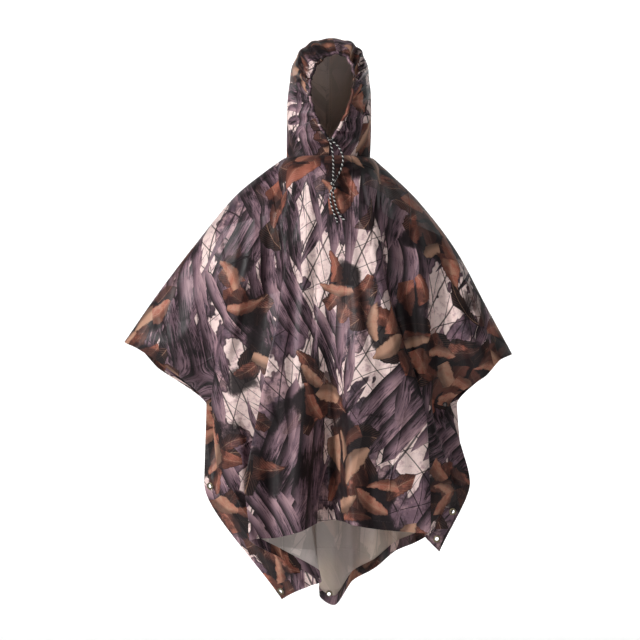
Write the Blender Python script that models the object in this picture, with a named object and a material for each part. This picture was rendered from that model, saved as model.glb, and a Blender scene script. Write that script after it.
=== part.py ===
"""Rain poncho, worn open over a general figure, with the hood up and both arms out.

Metres, +Z up. The origin is the middle of the neck seam, the front faces -Y and the
wearer's right arm is at -X. Every panel is cloth of one thickness, lofted through a table
with a row for each fold: a fold is followed from the shoulder to the hem.
"""

import math
from collections import namedtuple

import bmesh
import bpy
import numpy as np
from mathutils import Vector

# ------------------------------------------------------------------ driving sizes
WALL = 0.0015            # coated polyester, thickened to a wall that can be solid
SEAM_GAP = 0.0003        # between pieces that are sewn together
SHOULDER_HALF_GAP = 0.00045   # the edges here lean, so their middles stand further apart
HALF_WIDTH = 0.7225      # half the width of the sheet, centre to wrist edge

NECK_X = -0.004          # middle of the neck seam
NECK_HALF_WIDTH = 0.104
NECK_HALF_DEPTH = 0.098
NECK_HALF_CUT = 0.105    # half the neck opening, measured along the sheet
NECK_CLEAR = 0.0021      # middle of the hood's wall to the cut edge of the panels

UNDERARM_Z = -0.615
HIP_Z = -0.810
CHEST_SHARE = 0.42       # chest level, as a share of the way from shoulder to underarm

ARM_RADIUS = 0.050       # how far the cloth rolls over the arm before it hangs
ARM_DROP = 0.030
CUFF_REACH = 0.14        # the last stretch of the arm line, where the edge is drawn in
CUFF_TUCK = 0.034

FOLD_ROLL = 0.6          # how full a pleat rolls where it doubles back, as a share of its leg
FINE_ACROSS = 3          # facets between two folds
FINE_DOWN = (2, 3, 3, 4, 4)   # facets from level to level, shoulder to hem

# Shoulder and arm line: how far along the sheet, and where it lies, for each side.
ShoulderPoint = namedtuple("ShoulderPoint", "along x z")
RIGHT_ARM = (
    ShoulderPoint(0.105, -0.1112, 0.000),
    ShoulderPoint(0.170, -0.163, -0.035),
    ShoulderPoint(0.270, -0.239, -0.098),
    ShoulderPoint(0.420, -0.334, -0.213),
    ShoulderPoint(0.580, -0.429, -0.338),
    ShoulderPoint(0.7225, -0.514, -0.460),
)
LEFT_ARM = (
    ShoulderPoint(0.105, 0.1032, 0.000),
    ShoulderPoint(0.170, 0.153, -0.042),
    ShoulderPoint(0.270, 0.224, -0.112),
    ShoulderPoint(0.420, 0.314, -0.230),
    ShoulderPoint(0.580, 0.390, -0.370),
    ShoulderPoint(0.7225, 0.455, -0.490),
)

# One row a fold: its place along the shoulder, then across and out at three levels,
# then its end on the hem.
Fold = namedtuple("Fold", "name along chest underarm hip hem")
FRONT_FOLDS = (
    Fold("side_edge_r", -0.7225, (-0.402, -0.048), (-0.309, -0.0036), (-0.312, -0.056), (-0.119, -0.070, -1.095)),
    Fold("cuff_roll_r", -0.640, (-0.392, -0.088), (-0.276, -0.0042), (-0.291, -0.070), (-0.108, -0.082, -1.087)),
    Fold("sleeve_hang_r", -0.540, (-0.350, -0.102), (-0.256, -0.030), (-0.281, -0.082), (-0.098, -0.094, -1.080)),
    Fold("sleeve_dip_r", -0.430, (-0.298, -0.108), (-0.268, -0.060), (-0.273, -0.093), (-0.088, -0.105, -1.074)),
    Fold("sleeve_lap_r", -0.340, (-0.247, -0.136), (-0.290, -0.088), (-0.264, -0.103), (-0.077, -0.115, -1.068)),
    Fold("side_face_r", -0.260, (-0.200, -0.132), (-0.240, -0.108), (-0.240, -0.116), (-0.064, -0.124, -1.062)),
    Fold("side_dip_r", -0.190, (-0.148, -0.118), (-0.183, -0.108), (-0.185, -0.112), (-0.048, -0.118, -1.056)),
    Fold("pleat_inside_r", -0.150, (-0.120, -0.138), (-0.105, -0.130), (-0.062, -0.134), (-0.024, -0.136, -1.040)),
    Fold("pleat_back_r", -0.125, (-0.118, -0.153), (-0.138, -0.154), (-0.132, -0.156), (-0.110, -0.152, -0.990)),
    Fold("pleat_edge_r", -0.105, (-0.108, -0.170), (-0.172, -0.184), (-0.206, -0.194), (-0.192, -0.194, -0.940)),
    Fold("panel_dip_r", -0.070, (-0.072, -0.174), (-0.122, -0.177), (-0.142, -0.180), (-0.134, -0.177, -0.934)),
    Fold("centre_crest_r", -0.040, (-0.042, -0.180), (-0.064, -0.187), (-0.078, -0.196), (-0.074, -0.196, -0.918)),
    Fold("trough_wall_r", -0.018, (-0.018, -0.181), (-0.030, -0.166), (-0.036, -0.150), (-0.032, -0.158, -0.900)),
    Fold("trough", 0.000, (0.004, -0.180), (-0.002, -0.136), (-0.004, -0.102), (0.004, -0.128, -0.894)),
    Fold("trough_wall_l", 0.018, (0.024, -0.181), (0.025, -0.160), (0.025, -0.140), (0.034, -0.160, -0.896)),
    Fold("centre_crest_l", 0.040, (0.048, -0.181), (0.048, -0.190), (0.048, -0.199), (0.058, -0.197, -0.902)),
    Fold("panel_dip_l", 0.070, (0.082, -0.173), (0.116, -0.176), (0.128, -0.182), (0.126, -0.180, -0.914)),
    Fold("pleat_edge_l", 0.105, (0.120, -0.170), (0.226, -0.166), (0.240, -0.180), (0.242, -0.182, -0.922)),
    Fold("pleat_back_l", 0.125, (0.128, -0.155), (0.210, -0.142), (0.205, -0.152), (0.205, -0.156, -0.905)),
    Fold("pleat_inside_l", 0.150, (0.130, -0.139), (0.192, -0.119), (0.168, -0.128), (0.165, -0.132, -0.890)),
    Fold("side_dip_l", 0.190, (0.164, -0.122), (0.212, -0.100), (0.222, -0.106), (0.205, -0.108, -0.912)),
    Fold("side_crest_l", 0.260, (0.218, -0.136), (0.240, -0.096), (0.268, -0.086), (0.228, -0.086, -0.926)),
    Fold("sleeve_dip_l", 0.350, (0.268, -0.104), (0.252, -0.064), (0.292, -0.072), (0.240, -0.064, -0.936)),
    Fold("sleeve_crest_l", 0.450, (0.320, -0.102), (0.246, -0.032), (0.304, -0.060), (0.250, -0.050, -0.944)),
    Fold("cuff_roll_l", 0.600, (0.372, -0.086), (0.264, -0.0042), (0.312, -0.048), (0.236, -0.032, -0.944)),
    Fold("side_edge_l", 0.7225, (0.388, -0.046), (0.301, -0.0036), (0.348, -0.038), (0.272, -0.024, -0.982)),
)
BACK_FOLDS = (
    Fold("side_edge_r", -0.7225, (-0.434, 0.048), (-0.309, 0.0036), (-0.305, 0.038), (-0.140, 0.010, -1.045)),
    Fold("cuff_roll_r", -0.620, (-0.390, 0.086), (-0.277, 0.0042), (-0.270, 0.052), (-0.116, 0.046, -1.036)),
    Fold("sleeve_hang_r", -0.500, (-0.335, 0.098), (-0.254, 0.032), (-0.242, 0.085), (-0.114, 0.090, -1.036)),
    Fold("side_crest_r", -0.370, (-0.262, 0.148), (-0.264, 0.136), (-0.260, 0.156), (-0.146, 0.154, -1.034)),
    Fold("side_dip_r", -0.260, (-0.190, 0.110), (-0.196, 0.084), (-0.190, 0.082), (-0.102, 0.088, -1.038)),
    Fold("shoulder_crest_r", -0.160, (-0.128, 0.166), (-0.138, 0.184), (-0.132, 0.192), (-0.060, 0.194, -1.052)),
    Fold("pleat_back", -0.105, (-0.078, 0.160), (-0.062, 0.178), (-0.020, 0.190), (0.030, 0.196, -1.068)),
    Fold("pleat_lap", -0.080, (-0.068, 0.152), (-0.060, 0.158), (-0.030, 0.166), (0.000, 0.172, -1.090)),
    Fold("pleat_edge", -0.055, (-0.046, 0.148), (-0.060, 0.142), (-0.045, 0.142), (-0.025, 0.146, -1.112)),
    Fold("tip", -0.020, (-0.016, 0.156), (-0.016, 0.156), (0.000, 0.152), (0.014, 0.146, -1.134)),
    Fold("centre_crest", 0.020, (0.034, 0.168), (0.040, 0.184), (0.052, 0.194), (0.058, 0.190, -1.078)),
    Fold("centre_dip", 0.062, (0.080, 0.134), (0.092, 0.114), (0.106, 0.110), (0.112, 0.112, -1.038)),
    Fold("shoulder_crest_l", 0.105, (0.130, 0.168), (0.148, 0.186), (0.162, 0.194), (0.168, 0.194, -1.002)),
    Fold("side_dip_l", 0.210, (0.188, 0.110), (0.202, 0.082), (0.218, 0.080), (0.222, 0.082, -0.966)),
    Fold("side_crest_l", 0.360, (0.256, 0.150), (0.264, 0.138), (0.288, 0.146), (0.282, 0.146, -0.932)),
    Fold("sleeve_hang_l", 0.490, (0.316, 0.098), (0.250, 0.032), (0.266, 0.082), (0.256, 0.082, -0.918)),
    Fold("cuff_roll_l", 0.620, (0.366, 0.086), (0.280, 0.0042), (0.302, 0.052), (0.290, 0.052, -0.908)),
    Fold("side_edge_l", 0.7225, (0.392, 0.046), (0.318, 0.0036), (0.334, 0.038), (0.302, 0.018, -0.900)),
)


# ------------------------------------------------------------------ curves
def cubic_at(knots, points, value, ends=None, slack=0.85, roll=0.0, hold=False):
    """Point at value on a smooth curve through points.

    Roll keeps the curve full where it doubles back. Hold stops it from swinging past
    a point in any direction.
    """
    points = np.asarray(points, dtype=float)
    span = int(np.clip(np.searchsorted(knots, value) - 1, 0, len(knots) - 2))
    length = knots[span + 1] - knots[span]
    share = (value - knots[span]) / length

    def tangent(index):
        if index == 0:
            if ends is not None:
                return np.asarray(ends)
            return (points[1] - points[0]) / (knots[1] - knots[0])
        if index == len(knots) - 1:
            return (points[-1] - points[-2]) / (knots[-1] - knots[-2])
        back = points[index] - points[index - 1]
        onward = points[index + 1] - points[index]
        turn = slack * (back + onward) / (knots[index + 1] - knots[index - 1])
        if roll and float(np.dot(back, onward)) < 0.0:
            leg = min(float(np.linalg.norm(back)), float(np.linalg.norm(onward)))
            turn *= max(1.0, roll * leg / float(np.linalg.norm(turn)))
        if hold:
            turn = np.where(back * onward > 0.0, turn, 0.0)
        return turn

    a = 2 * share ** 3 - 3 * share ** 2 + 1
    b = share ** 3 - 2 * share ** 2 + share
    c = 3 * share ** 2 - 2 * share ** 3
    d = share ** 3 - share ** 2
    return (a * points[span] + b * length * tangent(span)
            + c * points[span + 1] + d * length * tangent(span + 1))


def shoulder_at(along, facing):
    """Start of the cloth on the shoulder line or the neck seam, and the way it leaves."""
    side = -1.0 if along < 0 else 1.0
    reach = abs(along)
    if reach >= NECK_HALF_CUT:
        arm = RIGHT_ARM if side < 0 else LEFT_ARM
        knots = [point.along for point in arm]
        x, z = cubic_at(knots, [(point.x, point.z) for point in arm], reach, slack=1.0)
        spread = 0.5 * math.exp(-(reach - NECK_HALF_CUT) / 0.06)
        leave = Vector((side * spread, facing, -0.08)).normalized()
        return Vector((x, facing * SHOULDER_HALF_GAP, z)), leave
    turn = math.pi / 2 * reach / NECK_HALF_CUT
    ring_x = NECK_HALF_WIDTH + NECK_CLEAR
    ring_y = NECK_HALF_DEPTH + NECK_CLEAR
    start = Vector((NECK_X + side * ring_x * math.sin(turn), facing * ring_y * math.cos(turn), 0.0))
    leave = Vector((side * math.sin(turn) * 0.45, facing, -0.30 + 0.22 * math.sin(turn)))
    return start, leave.normalized()


def cloth_points(folds, facing, across, down):
    """Grid of points on the middle of the cloth: [column across][row down]."""
    knots = list(range(len(folds)))
    alongs = [fold.along for fold in folds]
    grid = []
    for column in range((len(folds) - 1) * across + 1):
        place = column / across
        along = float(np.interp(place, knots, alongs))
        start, leave = shoulder_at(along, facing)
        chest = cubic_at(knots, [fold.chest for fold in folds], place, roll=FOLD_ROLL)
        underarm = cubic_at(knots, [fold.underarm for fold in folds], place, roll=FOLD_ROLL)
        hip = cubic_at(knots, [fold.hip for fold in folds], place, roll=FOLD_ROLL)
        hem = cubic_at(knots, [fold.hem for fold in folds], place, roll=FOLD_ROLL)
        chest_z = start.z + CHEST_SHARE * (UNDERARM_Z - start.z)
        cuff = max(0.0, 1.0 - (HALF_WIDTH - abs(along)) / CUFF_REACH)
        tuck = Vector((-math.copysign(CUFF_TUCK * cuff, along), 0.0, -ARM_DROP * (1 - 0.65 * cuff)))
        crown = start + leave * ARM_RADIUS + tuck
        levels = [tuple(start), tuple(crown), (*chest, chest_z), (*underarm, UNDERARM_Z),
                  (*hip, HIP_Z), tuple(hem)]
        lengths = [math.dist(levels[i], levels[i + 1]) for i in range(5)]
        marks = [0.0, *np.cumsum(lengths)]
        line = []
        for level, facets in enumerate(down):
            for step in range(facets):
                value = marks[level] + lengths[level] * step / facets
                line.append(cubic_at(marks, levels, value, ends=leave, slack=0.62, hold=True))
        line.append(np.asarray(levels[-1]))
        grid.append(line)
    return np.asarray(grid)


def across_cloth(grid):
    """Unit vectors square to the cloth, one for each point of its grid."""
    down = np.gradient(grid, axis=1)
    down /= np.linalg.norm(down, axis=2, keepdims=True)
    step = np.diff(grid, axis=0)
    sides = []
    for here in (down[:-1], down[1:]):
        level = step - here * (step * here).sum(axis=2, keepdims=True)
        sides.append(level / np.linalg.norm(level, axis=2, keepdims=True))
    over = np.concatenate([sides[0][:1], sides[1][:-1] + sides[0][1:], sides[1][-1:]])
    square = np.cross(over, down)
    return square / np.linalg.norm(square, axis=2, keepdims=True)


# ------------------------------------------------------------------ solids
def material(name, colour, roughness, metallic=0.0):
    """Principled material of one colour."""
    made = bpy.data.materials.new(name)
    made.use_nodes = True
    shader = made.node_tree.nodes["Principled BSDF"]
    shader.inputs["Base Color"].default_value = (*colour, 1.0)
    shader.inputs["Roughness"].default_value = roughness
    shader.inputs["Metallic"].default_value = metallic
    return made


def add_object(name, points, faces, finish, collection, smooth=True):
    """Mesh object with its faces turned outwards."""
    mesh = bpy.data.meshes.new(name)
    mesh.from_pydata([tuple(point) for point in points], [], faces)
    shape = bmesh.new()
    shape.from_mesh(mesh)
    bmesh.ops.recalc_face_normals(shape, faces=shape.faces)
    bmesh.ops.triangulate(shape, faces=shape.faces, quad_method="SHORT_EDGE")
    for face in shape.faces:
        face.smooth = smooth
    shape.to_mesh(mesh)
    shape.free()
    made = bpy.data.objects.new(name, mesh)
    mesh.materials.append(finish)
    collection.objects.link(made)
    return made


def add_wall(name, grid, thickness, finish, collection, square=None):
    """Closed wall of even thickness on both sides of a grid of points."""
    columns, rows = grid.shape[:2]
    square = across_cloth(grid) if square is None else square
    points = [*(grid + square * thickness / 2).reshape(-1, 3),
              *(grid - square * thickness / 2).reshape(-1, 3)]
    count = columns * rows
    faces = []
    for i in range(columns - 1):
        for j in range(rows - 1):
            a = i * rows + j
            b = a + rows
            faces.append((a, b, b + 1, a + 1))
            faces.append((count + a, count + a + 1, count + b + 1, count + b))
    border = [i * rows for i in range(columns)]
    border += [(columns - 1) * rows + j for j in range(1, rows)]
    border += [i * rows + rows - 1 for i in range(columns - 2, -1, -1)]
    border += [j for j in range(rows - 2, 0, -1)]
    for here, there in zip(border, border[1:] + border[:1]):
        faces.append((here, there, count + there, count + here))
    return add_object(name, points, faces, finish, collection)


def add_turned(name, profile, place, axis, segments, finish, collection):
    """Ring or disc turned about an axis; the profile is (radius, height) and closes."""
    turn = Vector((0.0, 0.0, 1.0)).rotation_difference(axis)
    points = []
    for step in range(segments):
        angle = 2 * math.pi * step / segments
        for radius, height in profile:
            local = Vector((radius * math.cos(angle), radius * math.sin(angle), height))
            points.append(place + turn @ local)
    count = len(profile)
    faces = []
    for step in range(segments):
        after = (step + 1) % segments
        for k in range(count):
            m = (k + 1) % count
            faces.append((step * count + k, after * count + k, after * count + m, step * count + m))
    made = add_object(name, points, faces, finish, collection)
    shape = bmesh.new()
    shape.from_mesh(made.data)
    bmesh.ops.remove_doubles(shape, verts=shape.verts, dist=0.00001)
    bmesh.ops.recalc_face_normals(shape, faces=shape.faces)
    shape.to_mesh(made.data)
    shape.free()
    return made


def add_cord(name, route, diameter, spacing, finish, collection):
    """Round cord along a smooth curve through its route, with closed ends."""
    route = [Vector(point) for point in route]
    marks = [0.0]
    for here, there in zip(route, route[1:]):
        marks.append(marks[-1] + (there - here).length)
    values = []
    for here, there in zip(marks, marks[1:]):
        steps = max(1, round((there - here) / spacing))
        values += [here + (there - here) * step / steps for step in range(steps)]
    values.append(marks[-1])
    line = [cubic_at(marks, [tuple(point) for point in route], value, slack=1.0) for value in values]
    curve = bpy.data.curves.new(name, "CURVE")
    curve.dimensions = "3D"
    curve.bevel_depth = diameter / 2
    curve.bevel_resolution = 2
    curve.use_fill_caps = True
    spline = curve.splines.new("POLY")
    spline.points.add(len(line) - 1)
    for point, place in zip(spline.points, line):
        point.co = (*place, 1.0)
    curve.materials.append(finish)
    made = bpy.data.objects.new(name, curve)
    collection.objects.link(made)
    return made


# ------------------------------------------------------------------ a clean file
for stray in list(bpy.data.objects):
    bpy.data.objects.remove(stray)
poncho = bpy.data.collections.new("rain_poncho")
bpy.context.scene.collection.children.link(poncho)
cutters = bpy.data.collections.new("cutters")
bpy.context.scene.collection.children.link(cutters)

CLOTH_COLOUR = (0.18, 0.13, 0.11)
CLOTH_ROUGHNESS = 0.55
front_cloth = material("front_cloth", CLOTH_COLOUR, CLOTH_ROUGHNESS)
back_cloth = material("back_cloth", CLOTH_COLOUR, CLOTH_ROUGHNESS)
hood_cloth_r = material("hood_cloth_r", CLOTH_COLOUR, CLOTH_ROUGHNESS)
hood_cloth_l = material("hood_cloth_l", CLOTH_COLOUR, CLOTH_ROUGHNESS)
casing_cloth = material("casing_cloth", CLOTH_COLOUR, CLOTH_ROUGHNESS)
cord_black = material("cord_black", (0.02, 0.02, 0.02), 0.7)
snap_metal = material("snap_metal", (0.10, 0.09, 0.08), 0.35, 1.0)
eyelet_brass = material("eyelet_brass", (0.55, 0.50, 0.42), 0.35, 1.0)

# ------------------------------------------------------------------ body panels
front_grid = cloth_points(FRONT_FOLDS, -1.0, FINE_ACROSS, FINE_DOWN)
back_grid = cloth_points(BACK_FOLDS, 1.0, FINE_ACROSS, FINE_DOWN)
front_panel = add_wall("front_panel", front_grid, WALL, front_cloth, poncho)
back_panel = add_wall("back_panel", back_grid, WALL, back_cloth, poncho)


# ------------------------------------------------------------------ hood
# Rings fan out from a line under the chin, from the neck seam round to the face edge.
HOOD_FAN_Y = -0.140
HOOD_COLUMNS = 64
HOOD_GATHERS = 16
HoodRing = namedtuple("HoodRing", "name tilt near far half_width square point ripple lean")
HOOD_RINGS = (
    HoodRing("neck_seam", 0.0, 0.042, 0.238, 0.104, 1.00, 0.0, 0.0, 0.0),
    HoodRing("nape", 18.0, 0.037, 0.262, 0.105, 0.95, 0.0, 0.0, 0.0),
    HoodRing("occiput", 38.0, 0.034, 0.303, 0.104, 0.82, 0.0, 0.0003, 0.0),
    HoodRing("crown", 56.0, 0.033, 0.324, 0.102, 0.76, 0.0, 0.0007, 0.001),
    HoodRing("top", 67.0, 0.033, 0.320, 0.097, 0.78, 0.1, 0.0012, 0.003),
    HoodRing("brow", 78.0, 0.033, 0.290, 0.087, 0.80, 0.3, 0.0022, 0.008),
    HoodRing("gathers", 85.0, 0.033, 0.266, 0.070, 0.92, 0.6, 0.0024, 0.012),
    HoodRing("face_edge", 90.0, 0.033, 0.246, 0.053, 1.00, 0.8, 0.0010, 0.015),
)
HOOD_FINE = 2
LEAN_POWER = 3           # keeps the lean to the top of each ring
CHIN_HALF_GAP = 0.0013   # keeps the two sides clear of each other at the sharp chin


def hood_point(ring, turn):
    """Point of one hood ring; turn 0 is the chin, half a turn is the centre seam."""
    peak = 2.0 * ((ring.point + 1) / (ring.point + 2)) ** ((ring.point + 1) / 2)
    peak /= math.sqrt(ring.point + 2)
    sine = math.sin(turn)
    cosine = math.cos(turn)
    width = math.copysign(abs(sine) ** ring.square, sine)
    width *= abs(math.sin(turn / 2)) ** ring.point / peak
    length = -math.copysign(abs(cosine) ** ring.square, cosine)
    crimp = ring.ripple * math.cos(HOOD_GATHERS * turn)
    out = (ring.far + ring.near) / 2 + ((ring.far - ring.near) / 2 + crimp) * length
    across = NECK_X * (1 - ring.tilt / 90) + (ring.half_width + crimp) * width
    tilt = math.radians(ring.tilt)
    return (across, HOOD_FAN_Y + out * math.cos(tilt), out * math.sin(tilt))


def hood_lean():
    """How far the top of the hood is drawn aside, for each column and row of one half."""
    knots = list(range(len(HOOD_RINGS)))
    leans = [(ring.lean,) for ring in HOOD_RINGS]
    rows = (len(HOOD_RINGS) - 1) * HOOD_FINE
    along = [cubic_at(knots, leans, row / HOOD_FINE, slack=1.0)[0] for row in range(rows + 1)]
    turns = np.linspace(0.0, math.pi, HOOD_COLUMNS // 2 + 1)
    return np.outer(((1.0 - np.cos(turns)) / 2) ** LEAN_POWER, along)


def hood_points(side):
    """Half of the hood: [column from chin to centre seam][row from neck to face edge]."""
    knots = list(range(len(HOOD_RINGS)))
    grid = []
    for column in range(HOOD_COLUMNS // 2 + 1):
        turn = side * math.pi * column / (HOOD_COLUMNS // 2)
        line = [hood_point(ring, turn) for ring in HOOD_RINGS]
        rows = (len(HOOD_RINGS) - 1) * HOOD_FINE
        grid.append([cubic_at(knots, line, row / HOOD_FINE, slack=1.0) for row in range(rows + 1)])
    return np.asarray(grid)


def add_hood_half(name, side, finish):
    """One side of the hood, stopped just short of the two centre seams."""
    grid = hood_points(side)
    inside = grid[1:-1, :, 0]
    inside[:] = side * np.maximum(np.abs(inside), CHIN_HALF_GAP)
    grid[:, :, 0] += hood_lean()
    square = across_cloth(grid)
    for edge in (0, -1):
        grid[edge, :, 0] += side * SEAM_GAP
        square[edge, :, 0] = 0.0
        square[edge] /= np.linalg.norm(square[edge], axis=1, keepdims=True)
    add_wall(name, grid, WALL, finish, poncho, square)
    return grid


hood_grid_r = add_hood_half("hood_right", -1.0, hood_cloth_r)
hood_grid_l = add_hood_half("hood_left", 1.0, hood_cloth_l)

# The casing is a strip folded into a channel along the face edge, open to the hood.
CASING_WALL = 0.0010
CASING_START = 4         # columns left open on each side of the chin
CasingPoint = namedtuple("CasingPoint", "forward outward")
CASING_SECTION = (
    CasingPoint(0.0009, 0.0014),
    CasingPoint(0.0060, 0.0031),
    CasingPoint(0.0110, 0.0),
    CasingPoint(0.0060, -0.0031),
    CasingPoint(0.0009, -0.0014),
)


def casing_points():
    """Channel section carried round the face edge, open at the chin for the cord."""
    half = HOOD_COLUMNS // 2
    edge = [hood_grid_r[i, -1] for i in range(CASING_START, half + 1)]
    edge += [hood_grid_l[i, -1] for i in range(half - 1, CASING_START - 1, -1)]
    edge = np.asarray(edge)
    edge[half - CASING_START, 0] = HOOD_RINGS[-1].lean
    along = np.gradient(edge, axis=0)
    along /= np.linalg.norm(along, axis=1, keepdims=True)
    forward = np.array((0.0, -1.0, 0.0))
    outward = np.cross(along, forward)
    outward /= np.linalg.norm(outward, axis=1, keepdims=True)
    return np.stack([edge + forward * point.forward + outward * point.outward
                     for point in CASING_SECTION], axis=1)


casing_grid = casing_points()
add_wall("hood_casing", casing_grid, CASING_WALL, casing_cloth, poncho)

# ------------------------------------------------------------------ drawcord
CORD_DIAMETER = 0.0045
CORD_SPACING = 0.0100
CORD_STAND_OFF = 0.0038   # middle of the cord in front of the middle of the cloth
CORD_REACH = 0.020        # cloth this near to each side of the cord holds it off
CORD_CHIN_Y = -0.1535     # how far forward it falls past the chin
CORD_MOUTH_GAP = 0.0004   # it comes out of both open ends of the casing, this far from them
CORD_LEAD = 0.0060        # and is in line with them for this far
KNOT_TOP = -0.066
KNOT_BOTTOM = -0.092
KNOT_TURNS = 1.5
KNOT_STEPS = 8            # route points in one turn
KNOT_RADIUS = 0.0050


def front_of_chest(x, z):
    """How far forward the cord hangs where it rests on the front panel."""
    depths = [CORD_CHIN_Y + CORD_STAND_OFF]
    for column in front_grid:
        here = [np.interp(-z, -column[:, 2], column[:, axis]) for axis in range(2)]
        if z < column[0, 2] and abs(here[0] - x) < CORD_REACH:
            depths.append(here[1])
    return float(min(depths)) - CORD_STAND_OFF


CordPoint = namedtuple("CordPoint", "x z")
STRAIGHT_ABOVE = (
    CordPoint(-0.0010, 0.0310),
    CordPoint(0.0050, 0.0080),
    CordPoint(0.0076, -0.0270),
)
STRAIGHT_BELOW = (
    CordPoint(0.0100, -0.1120),
    CordPoint(0.0150, -0.1330),
    CordPoint(0.0240, -0.1520),
    CordPoint(0.0350, -0.1630),
)
BOWED_ABOVE = (
    CordPoint(0.0060, 0.0310),
    CordPoint(0.0210, 0.0160),
    CordPoint(0.0310, -0.0090),
    CordPoint(0.0270, -0.0350),
    CordPoint(0.0170, -0.0560),
)
BOWED_BELOW = (
    CordPoint(0.0000, -0.1080),
    CordPoint(0.0040, -0.1300),
    CordPoint(0.0110, -0.1500),
    CordPoint(0.0180, -0.1680),
)
knot_x = 0.0070
knot_y = front_of_chest(knot_x, KNOT_BOTTOM) - KNOT_RADIUS


def cord_places(points):
    """Route points set in front of the cloth."""
    return [(point.x, front_of_chest(point.x, point.z), point.z) for point in points]


def leave_casing(end_section, next_section):
    """The cord's first two points, just outside one open end of the casing."""
    mouth = (end_section[1] + end_section[3]) / 2
    inside = (next_section[1] + next_section[3]) / 2
    out = (mouth - inside) / np.linalg.norm(mouth - inside)
    return [tuple(mouth + out * reach) for reach in (CORD_MOUTH_GAP, CORD_LEAD)]


straight_route = leave_casing(casing_grid[0], casing_grid[1]) + cord_places(STRAIGHT_ABOVE)
for height in (KNOT_TOP + 0.006, KNOT_TOP, KNOT_BOTTOM, KNOT_BOTTOM - 0.006):
    straight_route.append((knot_x, knot_y, height))
straight_route += cord_places(STRAIGHT_BELOW)
bowed_route = leave_casing(casing_grid[-1], casing_grid[-2]) + cord_places(BOWED_ABOVE)
knot_steps = round(KNOT_TURNS * KNOT_STEPS)
for step in range(knot_steps + 1):
    angle = 2 * math.pi * step / KNOT_STEPS
    height = KNOT_TOP + (KNOT_BOTTOM - KNOT_TOP) * step / knot_steps
    bowed_route.append((knot_x + KNOT_RADIUS * math.cos(angle),
                        knot_y - KNOT_RADIUS * math.sin(angle), height))
bowed_route += cord_places(BOWED_BELOW)
add_cord("drawcord_right", straight_route, CORD_DIAMETER, CORD_SPACING, cord_black, poncho)
add_cord("drawcord_left", bowed_route, CORD_DIAMETER, CORD_SPACING, cord_black, poncho)


# ------------------------------------------------------------------ snaps and eyelets
def cloth_place(grid, outward, column, row, radius):
    """Where a fitting sits on a panel: middle, outward direction and how far the cloth bows."""
    found = []
    for i in np.arange(column - 2.0, column + 2.01, 0.125):
        for j in np.arange(row - 0.6, row + 0.61, 0.03):
            a = int(np.clip(i, 0, len(grid) - 2))
            b = int(np.clip(j, 0, grid.shape[1] - 2))
            u = min(max(i - a, 0.0), 1.0)
            v = min(max(j - b, 0.0), 1.0)
            upper = grid[a, b] * (1 - u) + grid[a + 1, b] * u
            lower = grid[a, b + 1] * (1 - u) + grid[a + 1, b + 1] * u
            found.append((math.hypot(i - column, j - row), upper * (1 - v) + lower * v))
    middle = min(found, key=lambda item: item[0])[1]
    near = np.array([point for _, point in found if np.linalg.norm(point - middle) < radius])
    centre = near.mean(axis=0)
    square = np.linalg.svd(near - centre)[2][2]
    if square[1] * outward < 0:
        square = -square
    off = (near - centre) @ square
    bow = float(np.abs(off - off.mean()).max())
    place = middle - square * float(np.dot(middle - centre, square))
    return Vector(place), Vector(square), bow


FITTING_SIDES = 16
FITTING_CLEAR = 0.0006    # beyond the bow of the cloth under a fitting

# Snaps close the sleeve edges at the underarm: a cap on each side and the stud between.
SNAP_RADIUS = 0.0060
SNAP_CAP_HEIGHT = 0.0020
SNAP_STUD_RADIUS = 0.0040
UNDERARM_ROW = sum(FINE_DOWN[:3])
SNAP_CAP = (
    (0.0, 0.0),
    (SNAP_RADIUS, 0.0),
    (SNAP_RADIUS, 0.4 * SNAP_CAP_HEIGHT),
    (0.8 * SNAP_RADIUS, 0.85 * SNAP_CAP_HEIGHT),
    (0.0, SNAP_CAP_HEIGHT),
)
Snap = namedtuple("Snap", "name front_column back_column fill")   # fill: of the space inside
SNAPS = (
    Snap("snap_right", 1.10, 1.15, 0.30),
    Snap("snap_left", (len(FRONT_FOLDS) - 1) * FINE_ACROSS - 1.0,
         (len(BACK_FOLDS) - 1) * FINE_ACROSS - 2.1, 0.20),
)
for snap in SNAPS:
    fore, fore_out, fore_bow = cloth_place(
        front_grid, -1.0, snap.front_column, UNDERARM_ROW, SNAP_RADIUS)
    rear, rear_out, rear_bow = cloth_place(
        back_grid, 1.0, snap.back_column, UNDERARM_ROW, SNAP_RADIUS)
    fore_step = WALL / 2 + fore_bow + FITTING_CLEAR
    rear_step = WALL / 2 + rear_bow + FITTING_CLEAR
    stud_axis = (rear - fore) * snap.fill
    stud_from = (fore + rear - stud_axis) / 2
    stud = ((0.0, 0.0), (SNAP_STUD_RADIUS, 0.0), (SNAP_STUD_RADIUS, stud_axis.length),
            (0.0, stud_axis.length))
    add_turned(snap.name + "_cap", SNAP_CAP, fore + fore_out * fore_step, fore_out,
               FITTING_SIDES, snap_metal, poncho)
    add_turned(snap.name + "_stud", stud, stud_from, stud_axis.normalized(),
               FITTING_SIDES, snap_metal, poncho)
    add_turned(snap.name + "_back", SNAP_CAP, rear + rear_out * rear_step, rear_out,
               FITTING_SIDES, snap_metal, poncho)

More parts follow.
